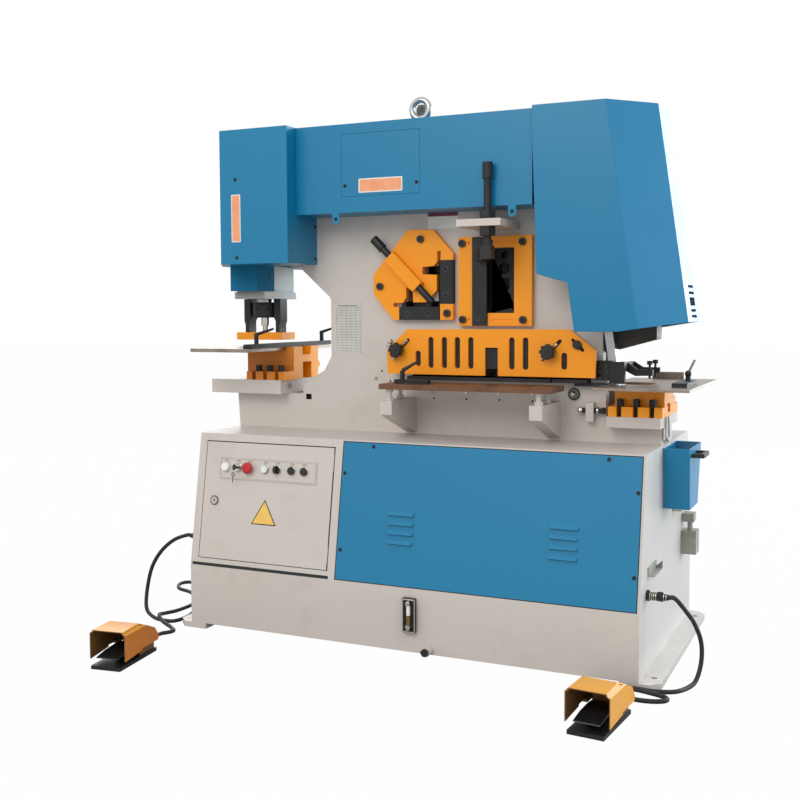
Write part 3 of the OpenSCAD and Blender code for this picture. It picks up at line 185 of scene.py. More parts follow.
def sprayed(name, colour, shade, rough=0.34, peel=0.04, grime=None):
    """Sprayed enamel over primed sheet steel: an even colour that drifts slightly between passes of the gun,
    a fine orange peel, and a soft gloss that varies where it has been handled."""
    material, tree, shader, place = start(name)
    drift = add(tree, "TexNoise", Vector=place, Scale=PASSES, Detail=1.0, Roughness=0.4).outputs[0]
    tone = add(tree, "ValToRGB", stops=((0.0, linear(shade)), (1.0, linear(colour))), Fac=drift).outputs[0]
    if grime:
        smear = add(tree, "TexNoise", Vector=place, Scale=SMEARS, Detail=5.0, Roughness=0.7).outputs[0]
        mask = add(tree, "ValToRGB", stops=((0.52, CLEAN), (0.85, GREASY)), Fac=smear).outputs[0]
        tone = add(tree, "Mix", {"data_type": "RGBA"}, _0=mask, _6=tone, _7=linear(grime)).outputs[2]
    tree.links.new(tone, shader.inputs["Base Color"])
    gloss = add(tree, "TexNoise", Vector=place, Scale=HANDLING, Detail=2.0, Roughness=0.5).outputs[0]
    spread = add(tree, "MapRange", {"clamp": False}, Value=gloss, _1=0.3, _2=0.7, _3=rough - 0.03,
                 _4=rough + 0.05).outputs[0]
    tree.links.new(spread, shader.inputs["Roughness"])
    skin = add(tree, "TexNoise", Vector=place, Scale=PEEL, Detail=0.0).outputs[0]
    bump = add(tree, "Bump", Height=skin, Strength=peel, Distance=0.0006).outputs[0]
    tree.links.new(bump, shader.inputs["Normal"])
    return material


def worn_metal(name, colour, shade, rough, metallic=1.0, grain=(1.0, 1.0, 1.0), scale=60.0, depth=0.12):
    """Bare or blackened steel: patchy tone from oil and handling, with the grain that its finish left. The grain
    has scale features per metre, 3 to 25 mm apart, and is drawn coarser than the real one so that it shows."""
    material, tree, shader, place = start(name)
    stretched = add(tree, "Mapping", Vector=place, Scale=grain).outputs[0]
    patch = add(tree, "TexNoise", Vector=place, Scale=OIL_PATCHES, Detail=5.0, Roughness=0.62).outputs[0]
    tone = add(tree, "ValToRGB", stops=((0.33, linear(shade)), (0.66, linear(colour))), Fac=patch).outputs[0]
    tree.links.new(tone, shader.inputs["Base Color"])
    shader.inputs["Metallic"].default_value = metallic
    grit = add(tree, "TexNoise", Vector=stretched, Scale=scale, Detail=3.0, Roughness=0.6).outputs[0]
    spread = add(tree, "MapRange", Value=grit, _1=0.3, _2=0.7, _3=rough - 0.08, _4=rough + 0.10).outputs[0]
    tree.links.new(spread, shader.inputs["Roughness"])
    bump = add(tree, "Bump", Height=grit, Strength=depth, Distance=0.0004).outputs[0]
    tree.links.new(bump, shader.inputs["Normal"])
    return material


def moulded(name, colour, shade, rough=0.42, grain=0.10, scale=900.0):
    """Moulded plastic, rubber or printed foil: one colour through, with a fine grain in its skin, drawn 1 to
    2 mm across so that it shows."""
    material, tree, shader, place = start(name)
    patch = add(tree, "TexNoise", Vector=place, Scale=MOTTLE, Detail=3.0).outputs[0]
    tone = add(tree, "ValToRGB", stops=((0.35, linear(shade)), (0.65, linear(colour))), Fac=patch).outputs[0]
    tree.links.new(tone, shader.inputs["Base Color"])
    skin = add(tree, "TexNoise", Vector=place, Scale=scale, Detail=2.0).outputs[0]
    spread = add(tree, "MapRange", Value=skin, _1=0.3, _2=0.7, _3=rough - 0.05, _4=rough + 0.07).outputs[0]
    tree.links.new(spread, shader.inputs["Roughness"])
    bump = add(tree, "Bump", Height=skin, Strength=grain, Distance=0.0003).outputs[0]
    tree.links.new(bump, shader.inputs["Normal"])
    return material


# Paints. Cream enamel of the cabinet and frame: pale and even, with faint smears where oil and hands reach it
CREAM = sprayed("cream_enamel", "#CEC8C2", "#C8C1BB", rough=0.38, grime="#B5ABA2")
# blue enamel of the covers: a deep, even blue with a soft gloss
BLUE = sprayed("blue_enamel", "#047DAA", "#0275A2", rough=0.33)
# matt blue enamel of the ram cover: the same blue a little deeper as painted shade, without a gleam or orange
# peel
MATT_SHADED_BLUE = sprayed("matt_blue_enamel_painted_shade", "#02709A", "#016891", rough=0.92, peel=0.0)
# orange enamel of the tooling: warm and bright, with a coarser peel
ORANGE = sprayed("orange_enamel", "#FC9F02", "#F59601", rough=0.42, peel=0.06)
# the same orange painted browner and darker as shade, with smears of oil
SHADED_OILY_ORANGE = sprayed("orange_enamel_painted_shade_and_oil", "#D8801E", "#CA7414", rough=0.45, grime="#9A5A1C")
# enamel of the pedal hoods: a lighter orange, smooth
PEDAL_ORANGE = sprayed("pedal_enamel", "#F0A83A", "#E79C30", rough=0.34)
# painted shade inside the pedal hoods: a dull brown
PEDAL_INSIDE_SHADE = sprayed("pedal_hood_inside_painted_shade", "#8A6436", "#75522A", rough=0.55)
# grey enamel of the guide body, cylinders and pump set: plain, with dark smears of oil
GREY = sprayed("grey_enamel", "#A6A9A6", "#9A9D9B", rough=0.40, grime="#7F8380")

# Metals. Blackened screws, levers and blades: near black with a dull sheen
BLACKED = worn_metal("black_oxide_steel", "#2C2D2F", "#212224", 0.46, metallic=0.35, scale=180.0)
# ground rods and shafts: bright, with fine lines around the upright ones
GROUND = worn_metal("ground_steel", "#C9CBCD", "#AEB0B2", 0.24, grain=(1.0, 1.0, 14.0), scale=120.0)
# plated bezels, screws and keys: a smooth warm mirror
PLATED = worn_metal("nickel_plated_brass", "#D8D4CC", "#BDB8AE", 0.16, scale=300.0, depth=0.03)
# rolled plate of the shear's table: brown with oil, blotchy, hardly metallic
ROLLED = worn_metal("oiled_rolled_steel", "#7C5740", "#65462F", 0.42, metallic=0.25, scale=40.0, depth=0.2)
# sanded tables of the punch and the notcher: pale, with short scratches along them
SANDED = worn_metal("sanded_steel_plate", "#A89C90", "#8B7F74", 0.36, metallic=0.6, grain=(1.0, 12.0, 1.0),
                    scale=70.0)
# sawn shear beam: dark and rough
BEAM = worn_metal("sawn_beam_steel", "#4A443D", "#3A3631", 0.5, metallic=0.3, scale=50.0, depth=0.3)
# zinc-coated steel darkened by age: a mid grey with a low gleam
CAST_DARK = worn_metal("dark_zinc_steel", "#6E726D", "#575B57", 0.4, metallic=0.4, scale=120.0)
# cast grey iron of the socket box: light grey and grainy
CAST = worn_metal("cast_grey_iron", "#A7A69D", "#8F8E86", 0.55, metallic=0.25, scale=220.0, depth=0.5)

# Plastics, rubber and print. Black nylon of knobs and buttons: a soft black with a fine grain
BLACK = moulded("black_nylon", "#1F1F21", "#18181A")
# rubber curtain, lifted to a mid grey as painted light where it hangs in deep shade
CURTAIN_LIFTED_GREY = moulded("rubber_curtain_painted_light", "#6B6863", "#5A5752", rough=0.7)
# painted shade for the bottoms of sockets, holes and recesses: dull, almost black
RECESS_SHADE = moulded("recess_painted_shade", "#121213", "#0D0D0E", rough=0.7)
# red polycarbonate of the stop button: clear red with a gloss
RED = moulded("red_polycarbonate", "#C4202A", "#B51A24", rough=0.28)
# white polycarbonate of the lamp and the gauge's tube: bright and glossy
WHITE = moulded("white_polycarbonate", "#F4F4EF", "#EAECE6", rough=0.25)
# pale green polycarbonate of the start button: nearly white, glossy
GREEN = moulded("pale_green_polycarbonate", "#E6EEE2", "#D9E6D9", rough=0.25)
# sheath of the cords: black and evenly dull
SHEATH = moulded("cord_sheath", "#1C1C1E", "#151517", rough=0.5, scale=500.0)
# painted shade in the gaps around the door and the panel: a thin dark line
GAP_SHADE = moulded("gap_painted_shade", "#20242A", "#181B20", rough=0.6)
# oil behind the gauge's tube: amber brown with a wet gloss
OIL = moulded("sight_glass_oil", "#8A6A34", "#75582A", rough=0.08, grain=0.0)
# printed foils: flat colours with a satin face
FOIL_WHITE = moulded("white_foil", "#EDEBE6", "#E4E1DB", rough=0.35, grain=0.02)
FOIL_ORANGE = moulded("orange_foil", "#F0A77E", "#EA9C70", rough=0.35, grain=0.02)
FOIL_AMBER = moulded("amber_foil", "#F2C766", "#EABC58", rough=0.35, grain=0.02)
FOIL_MAROON = moulded("maroon_foil", "#7A2740", "#6E2038", rough=0.35, grain=0.02)
FOIL_GREY = moulded("grey_print", "#8A8784", "#7E7B78", rough=0.4, grain=0.02)
# anodised plate of the table of sizes: a pale satin grey
PLATE_WHITE = moulded("anodised_plate", "#CFCDC9", "#C5C3BF", rough=0.3, grain=0.02)

FINISH = {
    "base_cabinet": CREAM, "control_door": CREAM, "button_plate": CREAM, "frame_front": CREAM,
    "frame_rear": CREAM, "punch_bed": CREAM, "table_brackets": CREAM, "notch_bed": CREAM,
    "front_panel": BLUE, "ram_cover": MATT_SHADED_BLUE, "punch_hood": BLUE, "beam_cover": BLUE,
    "notch_hood": BLUE, "scrap_bin": BLUE, "die_block": ORANGE, "stripper_plate": ORANGE,
    "angle_plate": ORANGE, "bar_frame": ORANGE, "guard_plate": ORANGE, "notch_die": ORANGE,
    "pedal_housings": PEDAL_ORANGE, "signal_lamp": WHITE, "key_switch": PLATED, "mushroom_button": RED,
    "start_button": GREEN, "selector_knob": BLACK, "jog_button_left": BLACK,
    "jog_button_right": BLACK, "door_lock": PLATED, "fasteners": BLACKED, "tank_fittings": GROUND,
    "punch_guide": GREY, "notch_stop": BLACKED, "hydraulic_cylinders": GREY, "punch_ram": GROUND,
    "coupling_nut": BLACKED, "punch_tool": PLATED, "stripper_bracket": BLACKED, "eye_bolt": GROUND,
    "shear_beam": BEAM, "pivot_shaft": GROUND, "shear_rod": GROUND, "angle_clamp": BLACKED,
    "fixed_blades": BLACKED, "moving_blades": BLACKED, "bar_clamp": BLACKED,
    "guard_knob_left": BLACK, "guard_knob_right": BLACK, "shear_table": ROLLED, "notch_ram": GROUND,
    "notch_stripper": BLACKED, "notch_table": SANDED, "punch_table": SANDED, "punch_fence": BLACKED,
    "electrical_fittings": CAST, "treadle_left": BLACK, "treadle_right": BLACK, "power_pack": GREY}

# ---------------------------------------------------------------- eased copies of the frame's own pieces
SHARP = math.radians(32)


def settle(mesh, form):
    """Smooths a piece everywhere but across its sharp edges, and writes it to its mesh."""
    for face in form.faces:
        face.smooth = True
    for edge in form.edges:
        edge.smooth = len(edge.link_faces) == 2 and edge.calc_face_angle(0) < SHARP
    form.to_mesh(mesh)
    form.free()


def round_over(piece, width):
    bevel = piece.modifiers.new("eased edges", "BEVEL")
    bevel.width = width * MM
    bevel.segments = 2
    bevel.limit_method = "ANGLE"
    bevel.angle_limit = SHARP
    bevel.harden_normals = True


def eased(node, width, parts=()):
    """Stands for a CAD node with its sharp edges rounded over by width millimetres. Each of parts is a finish
    and a test of a face's centre, in millimetres, that says which faces take it; the last that fits counts."""
    mesh = NODES[node].data.copy()
    mesh.name = node + "_eased"
    mesh.materials.clear()
    for finish in [FINISH[node]] + [part[0] for part in parts]:
        mesh.materials.append(finish)
    piece = bpy.data.objects.new(node + "_eased", mesh)
    bpy.context.scene.collection.objects.link(piece)
    form = bmesh.new()
    form.from_mesh(mesh)
    bmesh.ops.remove_doubles(form, verts=form.verts, dist=1e-5)
    bmesh.ops.dissolve_limit(form, angle_limit=math.radians(1.0), verts=form.verts, edges=form.edges)
    for face in form.faces:
        centre = face.calc_center_median() / MM
        face.material_index = 0
        for index, (_, test) in enumerate(parts):
            if test(centre):
                face.material_index = index + 1
    settle(mesh, form)
    if width:
        round_over(piece, width)
    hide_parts(node)
    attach(piece, BODY_OF[node])


ANY = (-math.inf, math.inf)


def zone(x=ANY, y=ANY, z=ANY):
    """A test for points that lie between two values of each of X, Y and Z, in millimetres."""
    return lambda c: x[0] < c.x < x[1] and y[0] < c.y < y[1] and z[0] < c.z < z[1]


def on(place, c):
    """A point in millimetres, as seen from one of the machine's own places."""
    return (place.inverted() @ (c * MM)) / MM


def pedal_space(x, y, turn):
    return (Matrix.Translation((x * MM, y * MM, 0)) @ Matrix.Rotation(math.radians(turn), 4, "Z")
            @ Matrix.Translation((0, -0.238, 0)))


PEDAL_LEFT, PEDAL_RIGHT = pedal_space(-802, -692, 7.5), pedal_space(770, -602, -5.5)
# In a pedal's own space: the top of its base, the side, start and top of the switch body on it, the start of
# the cord's gland, the inside of the hood at the side and on top, where the hood's corners are cut off, and how
# its roof falls from ROOF_FROM towards the back
BASE_TOP = 27
SWITCH_SIDE, SWITCH_FROM, SWITCH_TOP = 46.6, 119, 60.6
GLAND_FROM = 223
HOOD_SIDE, HOOD_TOP, HOOD_CORNER = 61.7, 121.4, 169.5
ROOF_FROM, ROOF_TOP, ROOF_FALL = 112, 122.4, 0.4286


def pedal_point(c):
    return on(PEDAL_LEFT if c.x < 0 else PEDAL_RIGHT, c)


def inside_pedal_hood(c):
    q = pedal_point(c)
    roof = min(HOOD_TOP, ROOF_TOP - (q.y - ROOF_FROM) * ROOF_FALL)
    return abs(q.x) < HOOD_SIDE and abs(q.x) + q.z < HOOD_CORNER and BASE_TOP < q.z < roof


def in_pedal_base(c):
    """The base plate, the switch body on it and the cord's gland."""
    q = pedal_point(c)
    in_switch = abs(q.x) < SWITCH_SIDE and q.y > SWITCH_FROM and q.z < SWITCH_TOP
    return q.z < BASE_TOP or in_switch or q.y > GLAND_FROM


PARTS = {
    # face of the pad behind the plate guard, painted black as the shade seen through the guard's slots, and the
    # inside of the small recess, painted dark as shade
    "frame_front": [(BLACKED, zone(y=(-math.inf, -137), z=(905, 1075))),
                    (RECESS_SHADE, zone(x=(-math.inf, -490), y=(-89, -70), z=(800, 822)))],
    # head of the bolt that rides in the guard
    "guard_plate": [(BLACK, zone(x=(515, 553), y=(-math.inf, -150.05), z=(990, 1030)))],
    # bezels that stand out from the plate
    "button_plate": [(PLATED, lambda c: on(FRONT, c).y < -2.3)],
    # painted front end
    "pivot_shaft": [(CREAM, lambda c: c.y < -80)],
    # front of the block above its foot, painted darker as shade with smears of oil, but not its right side
    "die_block": [(SHADED_OILY_ORANGE, zone(x=(-math.inf, -575), y=(-math.inf, -70), z=(865, math.inf)))],
    # base, the inside of the hoods painted dull brown as shade, and the right side of the left pedal painted
    # darker as shade
    "pedal_housings": [(BLACK, in_pedal_base), (PEDAL_INSIDE_SHADE, inside_pedal_hood),
                       (SHADED_OILY_ORANGE, lambda c: c.x < 0 and pedal_point(c).x > 62.5)],
    # stop strip and lever on the table
    "shear_table": [(BLACKED, lambda c: c.z > 882)],
    # clamp lever
    "notch_stop": [(GROUND, lambda c: c.z > 934)],
    # handle
    "scrap_bin": [(BLACK, lambda c: c.x > 885.2)],
    # everything but the bright face
    "door_lock": [(BLACK, lambda c: on(FRONT, c).y > -3.5)],
    # the key itself
    "key_switch": [(BLACK, lambda c: on(FRONT, c).y < -9)],
    # body of the gauge, the drain stub and its cap
    "tank_fittings": [(BLACKED, lambda c: c.y > -446), (CREAM, lambda c: c.z < 62),
                      (BLACK, lambda c: c.z < 62 and c.y < -462.05)],
    # boss on the frame's lower right, and the stop screw beside the die block
    "fasteners": [(CAST_DARK, zone(x=(490, 524), y=(-112, math.inf), z=(830, 870))),
                  (GROUND, zone(x=(-592, -578), z=(-math.inf, 870)))],
    # the two glands
    "electrical_fittings": [(BLACKED, lambda c: c.x < 0 or c.y < -290 and c.z < 300)],
}
EASE = {"base_cabinet": 2.0, "control_door": 1.6, "button_plate": 0.6, "front_panel": 0.8, "frame_front": 1.5,
        "frame_rear": 1.5, "punch_bed": 2.5, "die_block": 2.0, "punch_guide": 2.0, "stripper_plate": 2.0,
        "stripper_bracket": 1.5, "ram_cover": 1.2, "punch_hood": 1.4, "beam_cover": 1.4, "notch_hood": 1.4,
        "angle_plate": 1.5, "bar_frame": 1.5, "guard_plate": 1.2, "notch_die": 1.5, "notch_bed": 2.0,
        "notch_table": 1.0, "punch_table": 1.2, "shear_table": 1.5, "table_brackets": 1.5, "punch_fence": 1.0,
        "guard_knob_left": 2.0, "guard_knob_right": 2.0, "shear_beam": 1.5, "hydraulic_cylinders": 2.0,
        "power_pack": 1.5, "fasteners": 0.5, "tank_fittings": 0.5}
EASE_ELSEWHERE = 0.8
for node_name in FINISH:
    eased(node_name, EASE.get(node_name, EASE_ELSEWHERE), PARTS.get(node_name, ()))
for cord in (cord_left, cord_right):
    cord.data.materials.append(SHEATH)


# ---------------------------------------------------------------- shapes for the added pieces
def block(form, place, x, y, z):
    """A box between two values of each of X, Y and Z, in millimetres from a place."""
    size = Matrix.Diagonal(((x[1] - x[0]) * MM, (y[1] - y[0]) * MM, (z[1] - z[0]) * MM, 1))
    middle = Matrix.Translation(((x[0] + x[1]) / 2 * MM, (y[0] + y[1]) / 2 * MM, (z[0] + z[1]) / 2 * MM))
    bmesh.ops.create_cube(form, size=1, matrix=place @ middle @ size)


def border(form, place, x, y, z, side, end=None):
    """Four bars just inside a rectangle: upright ones as wide as side, level ones as high as end, or side."""
    end = side if end is None else end
    for bar in ((x[0], x[0] + side), (x[1] - side, x[1])):
        block(form, place, bar, y, z)
    for bar in ((z[0], z[0] + end), (z[1] - end, z[1])):
        block(form, place, x, y, bar)


TURNS = {"x": Matrix.Rotation(math.pi / 2, 4, "Y"), "y": Matrix.Rotation(math.pi / 2, 4, "X"), "z": Matrix()}


def rod(form, place, at, axis, length, r1, r2=None, sides=32):
    """A rod or cone whose middle is at a point and that runs along x, y or z (along y, r1 is at the back)."""
    where = place @ Matrix.Translation(Vector(at) * MM) @ TURNS[axis]
    bmesh.ops.create_cone(form, cap_ends=True, segments=sides, radius1=r1 * MM,
                          radius2=(r1 if r2 is None else r2) * MM, depth=length * MM, matrix=where)


def ring(form, place, at, axis, radius, wire, sides=32):
    """A wire ring whose hole looks along x, y or z."""
    where = place @ Matrix.Translation(Vector(at) * MM) @ TURNS[axis]
    upright = Matrix.Translation((radius * MM, 0, 0)) @ Matrix.Rotation(math.pi / 2, 4, "X")
    loop = bmesh.ops.create_circle(form, segments=10, radius=wire * MM, matrix=upright)["verts"]
    edges = [e for e in form.edges if e.verts[0] in loop]
    before = set(form.verts) - set(loop)
    bmesh.ops.spin(form, geom=loop + edges, cent=(0, 0, 0), axis=(0, 0, 1), angle=2 * math.pi, steps=sides,
                   use_merge=True)
    bmesh.ops.transform(form, matrix=where, verts=[v for v in form.verts if v not in before])


def finish_piece(name, form, material, body=MACHINE, ease=0.0):
    bmesh.ops.recalc_face_normals(form, faces=form.faces)
    mesh = bpy.data.meshes.new(name)
    mesh.materials.append(material)
    settle(mesh, form)
    piece = bpy.data.objects.new(name, mesh)
    bpy.context.scene.collection.objects.link(piece)
    if ease:
        round_over(piece, ease)
    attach(piece, body)


def field(name, x, z, y, material, thick=0.4, corner=3.0):
    """A thin printed plate or foil with rounded corners, lying on an upright face above the deck at y."""
    form = bmesh.new()
    block(form, DECK, x, (y - thick, y), z)
    if corner:
        edges = [e for e in form.edges if abs((e.verts[0].co - e.verts[1].co).length - thick * MM) < 1e-7]
        bmesh.ops.bevel(form, geom=edges, offset=corner * MM, offset_type="OFFSET", segments=4, profile=0.5,
                        affect="EDGES", material=-1)
    finish_piece(name, form, material)


# ---------------------------------------------------------------- printed fields, all bare
# faces of the frame plate, the beam cover and the punch hood, in millimetres along Y
FRAME_FACE, COVER_FACE, HOOD_FACE = -90, -238, -300
OVER = 0.3    # an inner field stands out over its rim by this

field("hood_field_edge", (-693, -655), (680, 848), HOOD_FACE, FOIL_WHITE)
field("hood_field", (-689.5, -658.5), (683.5, 844.5), HOOD_FACE - OVER, FOIL_ORANGE, corner=2.0)
field("cover_field_edge", (-216, -51), (838, 886), COVER_FACE, FOIL_WHITE)
field("cover_field", (-212, -55), (842, 882), COVER_FACE - OVER, FOIL_ORANGE, corner=2.0)
field("note_field", (-21, 91), (718, 772), FRAME_FACE, FOIL_WHITE, corner=1.5)
field("note_band", (-21, 91), (760, 772), FRAME_FACE - OVER, FOIL_MAROON, corner=0.0)
field("table_plate", (-391, -280), (281, 463), FRAME_FACE, PLATE_WHITE, thick=0.8)

# bare table: rows, columns and a bar for its heading
TABLE_PRINT = (-91.0, -90.7)
ROWS, ROW_HEIGHT, LINE = 17, 9.8, 0.9
form = bmesh.new()
for row in range(ROWS):
    z = 289 + row * ROW_HEIGHT
    block(form, DECK, (-384, -287), TABLE_PRINT, (z, z + LINE))
for column in (-384, -362, -344, -326, -306, -288):
    block(form, DECK, (column, column + LINE), TABLE_PRINT, (289, 446.5))
block(form, DECK, (-378, -300), TABLE_PRINT, (451, 455))
finish_piece("table_plate_lines", form, FOIL_GREY)
form = bmesh.new()
for x in (-387, -284):
    for z in (285, 459):
        rod(form, DECK, (x, -91.4, z), "y", 1.6, 1.6, 2.4, sides=16)
finish_piece("table_plate_rivets", form, PLATED)

# bare amber triangle on the door, with a dark rim
for name, radius, y, finish, slot in (("door_triangle_rim", 58, -0.5, BLACK, "black_plastic"),
                                      ("door_triangle", 51.5, -0.7, FOIL_AMBER, "tool_orange")):
    form = bmesh.new()
    rod(form, FRONT, (-512, y, 189), "y", 0.5, radius, sides=3)
    finish_piece(name, form, finish, "door")

# ---------------------------------------------------------------- control door
BUTTON_V = 352.9
KEY_X = -630
# lamp, key, mushroom, start, selector and the two jog buttons
BUTTONS_X = (-680, KEY_X, -584, -519, -471, -413, -363)
PLATE_PRINT = (-2.3, -1.9)
form = bmesh.new()
for inset in (1.5, 5.0):
    border(form, FRONT, (-706 + inset, -314 - inset), PLATE_PRINT, (310 + inset, 387 - inset), 0.7)
for x in BUTTONS_X:
    block(form, FRONT, (x - 9, x + 9), PLATE_PRINT, (376, 378.6))
    block(form, FRONT, (x - 7, x + 7), PLATE_PRINT, (372, 373.4))
finish_piece("button_plate_lines", form, FOIL_GREY, "door")

form = bmesh.new()
ring(form, FRONT, (-720, -2.6, 232.2), "y", 14.5, 2.2, sides=40)
finish_piece("door_lock_surround", form, CAST_DARK, "door")

form = bmesh.new()
for x in BUTTONS_X:
    ring(form, FRONT, (x, -5.4, BUTTON_V), "y", 14.4, 1.4)
finish_piece("button_rings", form, PLATED, "door")

# ring through the key's bow, and the spare key that hangs on it
form = bmesh.new()
ring(form, FRONT, (KEY_X, -34, 341), "x", 9.5, 1.0, sides=24)
finish_piece("key_ring", form, PLATED, "key_switch")
form = bmesh.new()
ring(form, FRONT, (KEY_X + 1, -34, 328), "y", 5.6, 1.9, sides=24)
block(form, FRONT, (KEY_X - 0.8, KEY_X + 2.8), (-35, -33), (299, 323))
finish_piece("spare_key", form, CAST_DARK, "key_switch")

# ---------------------------------------------------------------- cabinet details
# painted shade in the gaps: four bars around the panel, four around the door, and strips in the gaps beside,
# above and below it
form = bmesh.new()
for x, z in (((-221, -218.1), (1, 466)), ((790.1, 793), (1, 466)), ((-221, 793), (1, 3.9)),
             ((-221, 793), (463.2, 466))):
    block(form, FRONT, x, (-0.3, 2.8), z)
border(form, FRONT, (-770.4, -251.6), (1.8, 5.5), (27, 442.4), 2.3)
block(form, FRONT, (-251.7, -249.2), (-0.4, 5.0), (27, 443.2))
block(form, FRONT, (-770.4, -249.2), (-0.4, 5.0), (442.3, 443.6))
block(form, FRONT, (-793, -245), (-0.4, 0.2), (0.4, 10.5))
finish_piece("panel_and_door_gap_shade", form, GAP_SHADE)

# sight gauge: bright rim, a recessed bed painted dark as shade, clear tube with oil, two domed screws
GAUGE_X, TUBE_Y, TUBE_R = 59.5, -448, 6.5
form = bmesh.new()
border(form, FLOOR, (37, 82), (-449, -443.8), (88, 199), 4, 5)
finish_piece("sight_gauge_rim", form, PLATED, ease=1.5)
form = bmesh.new()
block(form, FLOOR, (41, 78), (-444.6, -443.9), (93, 194))
finish_piece("sight_gauge_bed", form, RECESS_SHADE)
form = bmesh.new()
rod(form, FLOOR, (GAUGE_X, TUBE_Y, 160), "z", 34, TUBE_R)
finish_piece("sight_glass_tube", form, WHITE)
form = bmesh.new()
rod(form, FLOOR, (GAUGE_X, TUBE_Y, 129), "z", 34, TUBE_R)
finish_piece("sight_glass_oil", form, OIL)
form = bmesh.new()
for z in (104, 184):
    rod(form, FLOOR, (GAUGE_X, TUBE_Y - 2, z), "y", 12, 9.5, 7.0)
finish_piece("sight_gauge_screws", form, PLATED, ease=1.5)

# ---------------------------------------------------------------- frame and stations
# screws on the front frame plate, and plain tapped holes drawn as discs of painted shade
form = bmesh.new()
for x in (0, 122, 242, 361):
    rod(form, DECK, (x, -93, 150), "y", 6, 6.5, 6.0, sides=6)
rod(form, DECK, (-226, -92.5, 193), "y", 5, 7.0, 6.0, sides=6)
finish_piece("blade_screws", form, PLATED, ease=0.5)
form = bmesh.new()
for x, z in ((0, 127), (122, 127), (242, 128), (361, 128), (-202, 219), (-169, 184)):
    rod(form, DECK, (x, FRAME_FACE - 0.2, z), "y", 0.4, 3.6, sides=20)
finish_piece("tapped_holes", form, RECESS_SHADE)

# bright clamping ends that stand out from behind the two star knobs
KNOB_LEFT, KNOB_RIGHT, KNOB_Z = -107, 438, 298
STUB_Y, HANDLE_Y = -0.1562, -0.166


def from_knob(x, y, turn):
    """A place at a star knob's spindle, y metres out, with its X turned up by a number of degrees."""
    return DECK @ Matrix.Translation((x * MM, y, KNOB_Z * MM)) @ Matrix.Rotation(-math.radians(turn), 4, "Y")


form = bmesh.new()
for x, turn, begin, length in ((KNOB_LEFT, 45, 20, 27), (KNOB_RIGHT, 45, 12, 22), (KNOB_RIGHT, -135, 12, 24)):
    stub = from_knob(x, STUB_Y, turn)
    rod(form, stub, (begin + length / 2, 0, 0), "x", length, 3.4, sides=20)
    rod(form, stub, (begin + length, 0, 0), "x", 8, 5, 4, sides=20)
handle = from_knob(KNOB_LEFT, HANDLE_Y, 143)
rod(form, handle, (24, 0, 0), "x", 22, 4.5, sides=20)
for along, across in ((38, -6), (33, 9)):
    rod(form, handle, (along, 0, across), "y", 14, 10, 7, sides=28)
rod(form, DECK, (-122, -166, 268), "y", 10, 7, 5, sides=24)
finish_piece("guard_clamp_ends", form, PLATED, ease=1.5)
form = bmesh.new()
rod(form, DECK, (531, -160.5, 322), "y", 6, 15, 13)
finish_piece("guard_bolt_cap", form, BLACK, "guard", ease=1.0)

# recessed sockets: blade screws, round ones, and the hexagon ones of the stations' cap bolts, their bottoms
# painted dark as shade and each ringed with a painted highlight
BLADE_SOCKETS = ((54, 577), (56, 488), (-90, 423), (-10, 423))
ROUND_SOCKETS = ((172, 663), (179, 403), (186, 591))
CAP_SOCKETS = ((-38, 682), (-195, 520), (61, 425), (117, 662), (333, 663), (119, 403), (335, 402))
form = bmesh.new()
rim_highlights = bmesh.new()
for places, y, size, sides, rim in ((BLADE_SOCKETS, -115.1, 7.5, 24, 8.1), (ROUND_SOCKETS, -124.1, 5, 24, 5.6),
                                    (CAP_SOCKETS, -123.1, 5.5, 6, 11.5)):
    for x, z in places:
        rod(form, DECK, (x, y, z), "y", 0.4, size, sides=sides)
        ring(rim_highlights, DECK, (x, y, z), "y", rim, 0.7, sides=28)
# six small ones in the right-hand blade holder
for z in (251, 232, 213):
    for x in (599, 620):
        rod(form, DECK, (x, -120.2, z), "y", 0.4, 3.2, sides=16)
        ring(rim_highlights, DECK, (x, -120.2, z), "y", 3.6, 0.6, sides=16)
finish_piece("socket_bottom_shades", form, RECESS_SHADE)
finish_piece("socket_rim_highlights", rim_highlights, CAST_DARK)

# bright cap nut on the lower right of the frame, and the ends of the blade adjuster
form = bmesh.new()
rod(form, DECK, (504, -93, 156), "y", 5, 21, 19)
finish_piece("cap_nut_seat", form, BLACKED, ease=0.6)
form = bmesh.new()
rod(form, DECK, (504, -110, 156), "y", 14, 13, 6)
rod(form, DECK, (532, -108, 105), "x", 14, 11.5, sides=6)
rod(form, DECK, (590, -108, 105), "x", 9, 13, 12)
finish_piece("cap_nut", form, PLATED, ease=3.0)

# rubber curtain over the ways out at the back, its rubber lifted to a mid grey as painted light, cut into strips
# and hung from steel ones: high behind the angle and bar stations, low behind the plate shear
STRIPS, PITCH, STRIP_WIDTH = 26, 27.4, 26.6
form = bmesh.new()
for k in range(STRIPS):
    x = -136 + k * PITCH
    block(form, DECK, (x, x + STRIP_WIDTH), (92.5, 95.5), (188, 660 if x < 340 else 300))
finish_piece("rear_curtain", form, CURTAIN_LIFTED_GREY, ease=0.4)
form = bmesh.new()
block(form, DECK, (-138, 366), (90.2, 97.5), (655, 676))
block(form, DECK, (366, 577), (90.2, 97.5), (290, 310))
finish_piece("rear_curtain_strips", form, CREAM, ease=0.8)
form = bmesh.new()
for x, z in ((-120, 666), (0, 666), (120, 666), (240, 666), (350, 666), (385, 300), (472, 300), (560, 300)):
    rod(form, DECK, (x, 99, z), "y", 3, 5, 6, sides=16)
finish_piece("rear_curtain_screws", form, PLATED)

# breather behind the lifting eye
form = bmesh.new()
rod(form, DECK, (-108, 60, 1120), "z", 90, 21)
rod(form, DECK, (-108, 60, 1170), "z", 12, 21, 14)
finish_piece("breather", form, CAST_DARK, ease=1.5)

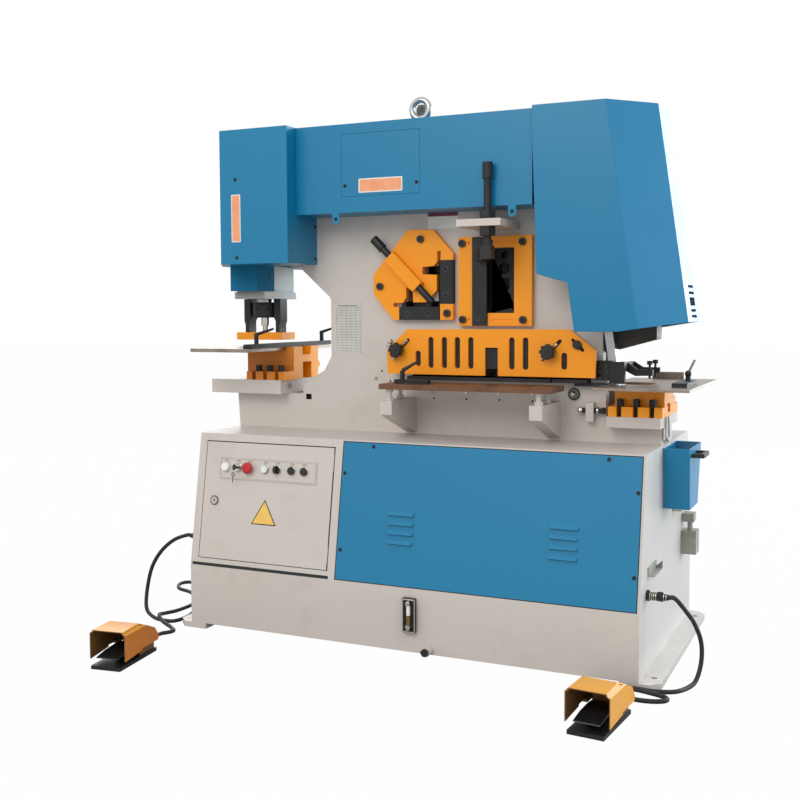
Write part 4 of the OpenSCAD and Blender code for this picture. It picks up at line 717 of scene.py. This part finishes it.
# bright collars of the right-hand cable gland
form = bmesh.new()
for x, radius in ((812, 13.2), (818, 13.2), (824, 13.2), (830, 13.2), (853, 11.8), (860, 10.4)):
    ring(form, FLOOR, (x, -330, 262), "x", radius, 1.5, sides=24)
finish_piece("gland_collars", form, PLATED)

# ---------------------------------------------------------------- floor and light
FLOOR_HALF = 30
# strength of the floor as the camera sees it, and of the world as light and as the camera sees it
FLOOR_GLOW, SKY_LIGHT, SKY_SEEN = 0.985, 0.93, 1.0


def lay_floor():
    floor = bpy.data.objects.new("floor", bpy.data.meshes.new("floor"))
    bpy.context.scene.collection.objects.link(floor)
    form = bmesh.new()
    bmesh.ops.create_grid(form, x_segments=1, y_segments=1, size=FLOOR_HALF)
    form.to_mesh(floor.data)
    form.free()
    material = bpy.data.materials.new("pale_floor")
    material.use_nodes = True
    tree = material.node_tree
    tree.nodes.clear()
    ray = add(tree, "LightPath")
    matt = add(tree, "BsdfDiffuse", Color=linear("#B4B2B0"))
    glow = add(tree, "Emission", Color=(1, 1, 1, 1), Strength=1.0)
    share = add(tree, "Math", {"operation": "MULTIPLY"}, _0=ray.outputs["Is Camera Ray"], _1=FLOOR_GLOW)
    mixed = add(tree, "MixShader", _0=share.outputs[0], _1=matt.outputs[0], _2=glow.outputs[0])
    tree.links.new(mixed.outputs[0], add(tree, "OutputMaterial").inputs[0])
    floor.data.materials.append(material)


def hang_backdrop():
    world = bpy.data.worlds.new("studio")
    bpy.context.scene.world = world
    world.use_nodes = True
    tree = world.node_tree
    tree.nodes.clear()
    ray = add(tree, "LightPath")
    level = add(tree, "MapRange", Value=ray.outputs["Is Camera Ray"], _1=0.0, _2=1.0, _3=SKY_LIGHT,
                _4=SKY_SEEN)
    sky = add(tree, "Background", Color=(1, 1, 1, 1), Strength=level.outputs[0])
    tree.links.new(sky.outputs[0], add(tree, "OutputWorld").inputs[0])
    bpy.context.scene.view_settings.view_transform = "Standard"


def lamp(name, place, target, size, power, colour="#FFFFFF"):
    """A rectangular lamp that faces its target."""
    data = bpy.data.lights.new(name, "AREA")
    data.shape = "RECTANGLE"
    data.size, data.size_y = size
    data.energy = power
    data.color = linear(colour)[:3]
    item = bpy.data.objects.new(name, data)
    item.location = place
    item.rotation_mode = "QUATERNION"
    item.rotation_quaternion = (Vector(target) - Vector(place)).to_track_quat("-Z", "Y")
    bpy.context.scene.collection.objects.link(item)


lay_floor()
hang_backdrop()
lamp("key_front", (-0.6, -5.4, 4.4), (0, 0, 1.0), (3.0, 3.0), 118, "#FFF9F2")
lamp("window_right", (5.2, 2.1, 1.9), (0.6, 0, 0.9), (2.6, 3.0), 140, "#D6EEFF")
lamp("fill_back_right", (2.7, 5.0, 2.1), (0.8, 0, 1.2), (3.2, 3.4), 130, "#F0FAFF")
lamp("fill_back_left", (-4.0, 4.2, 3.2), (0, 0, 1.0), (3.0, 3.0), 70)

bpy.context.view_layer.update()
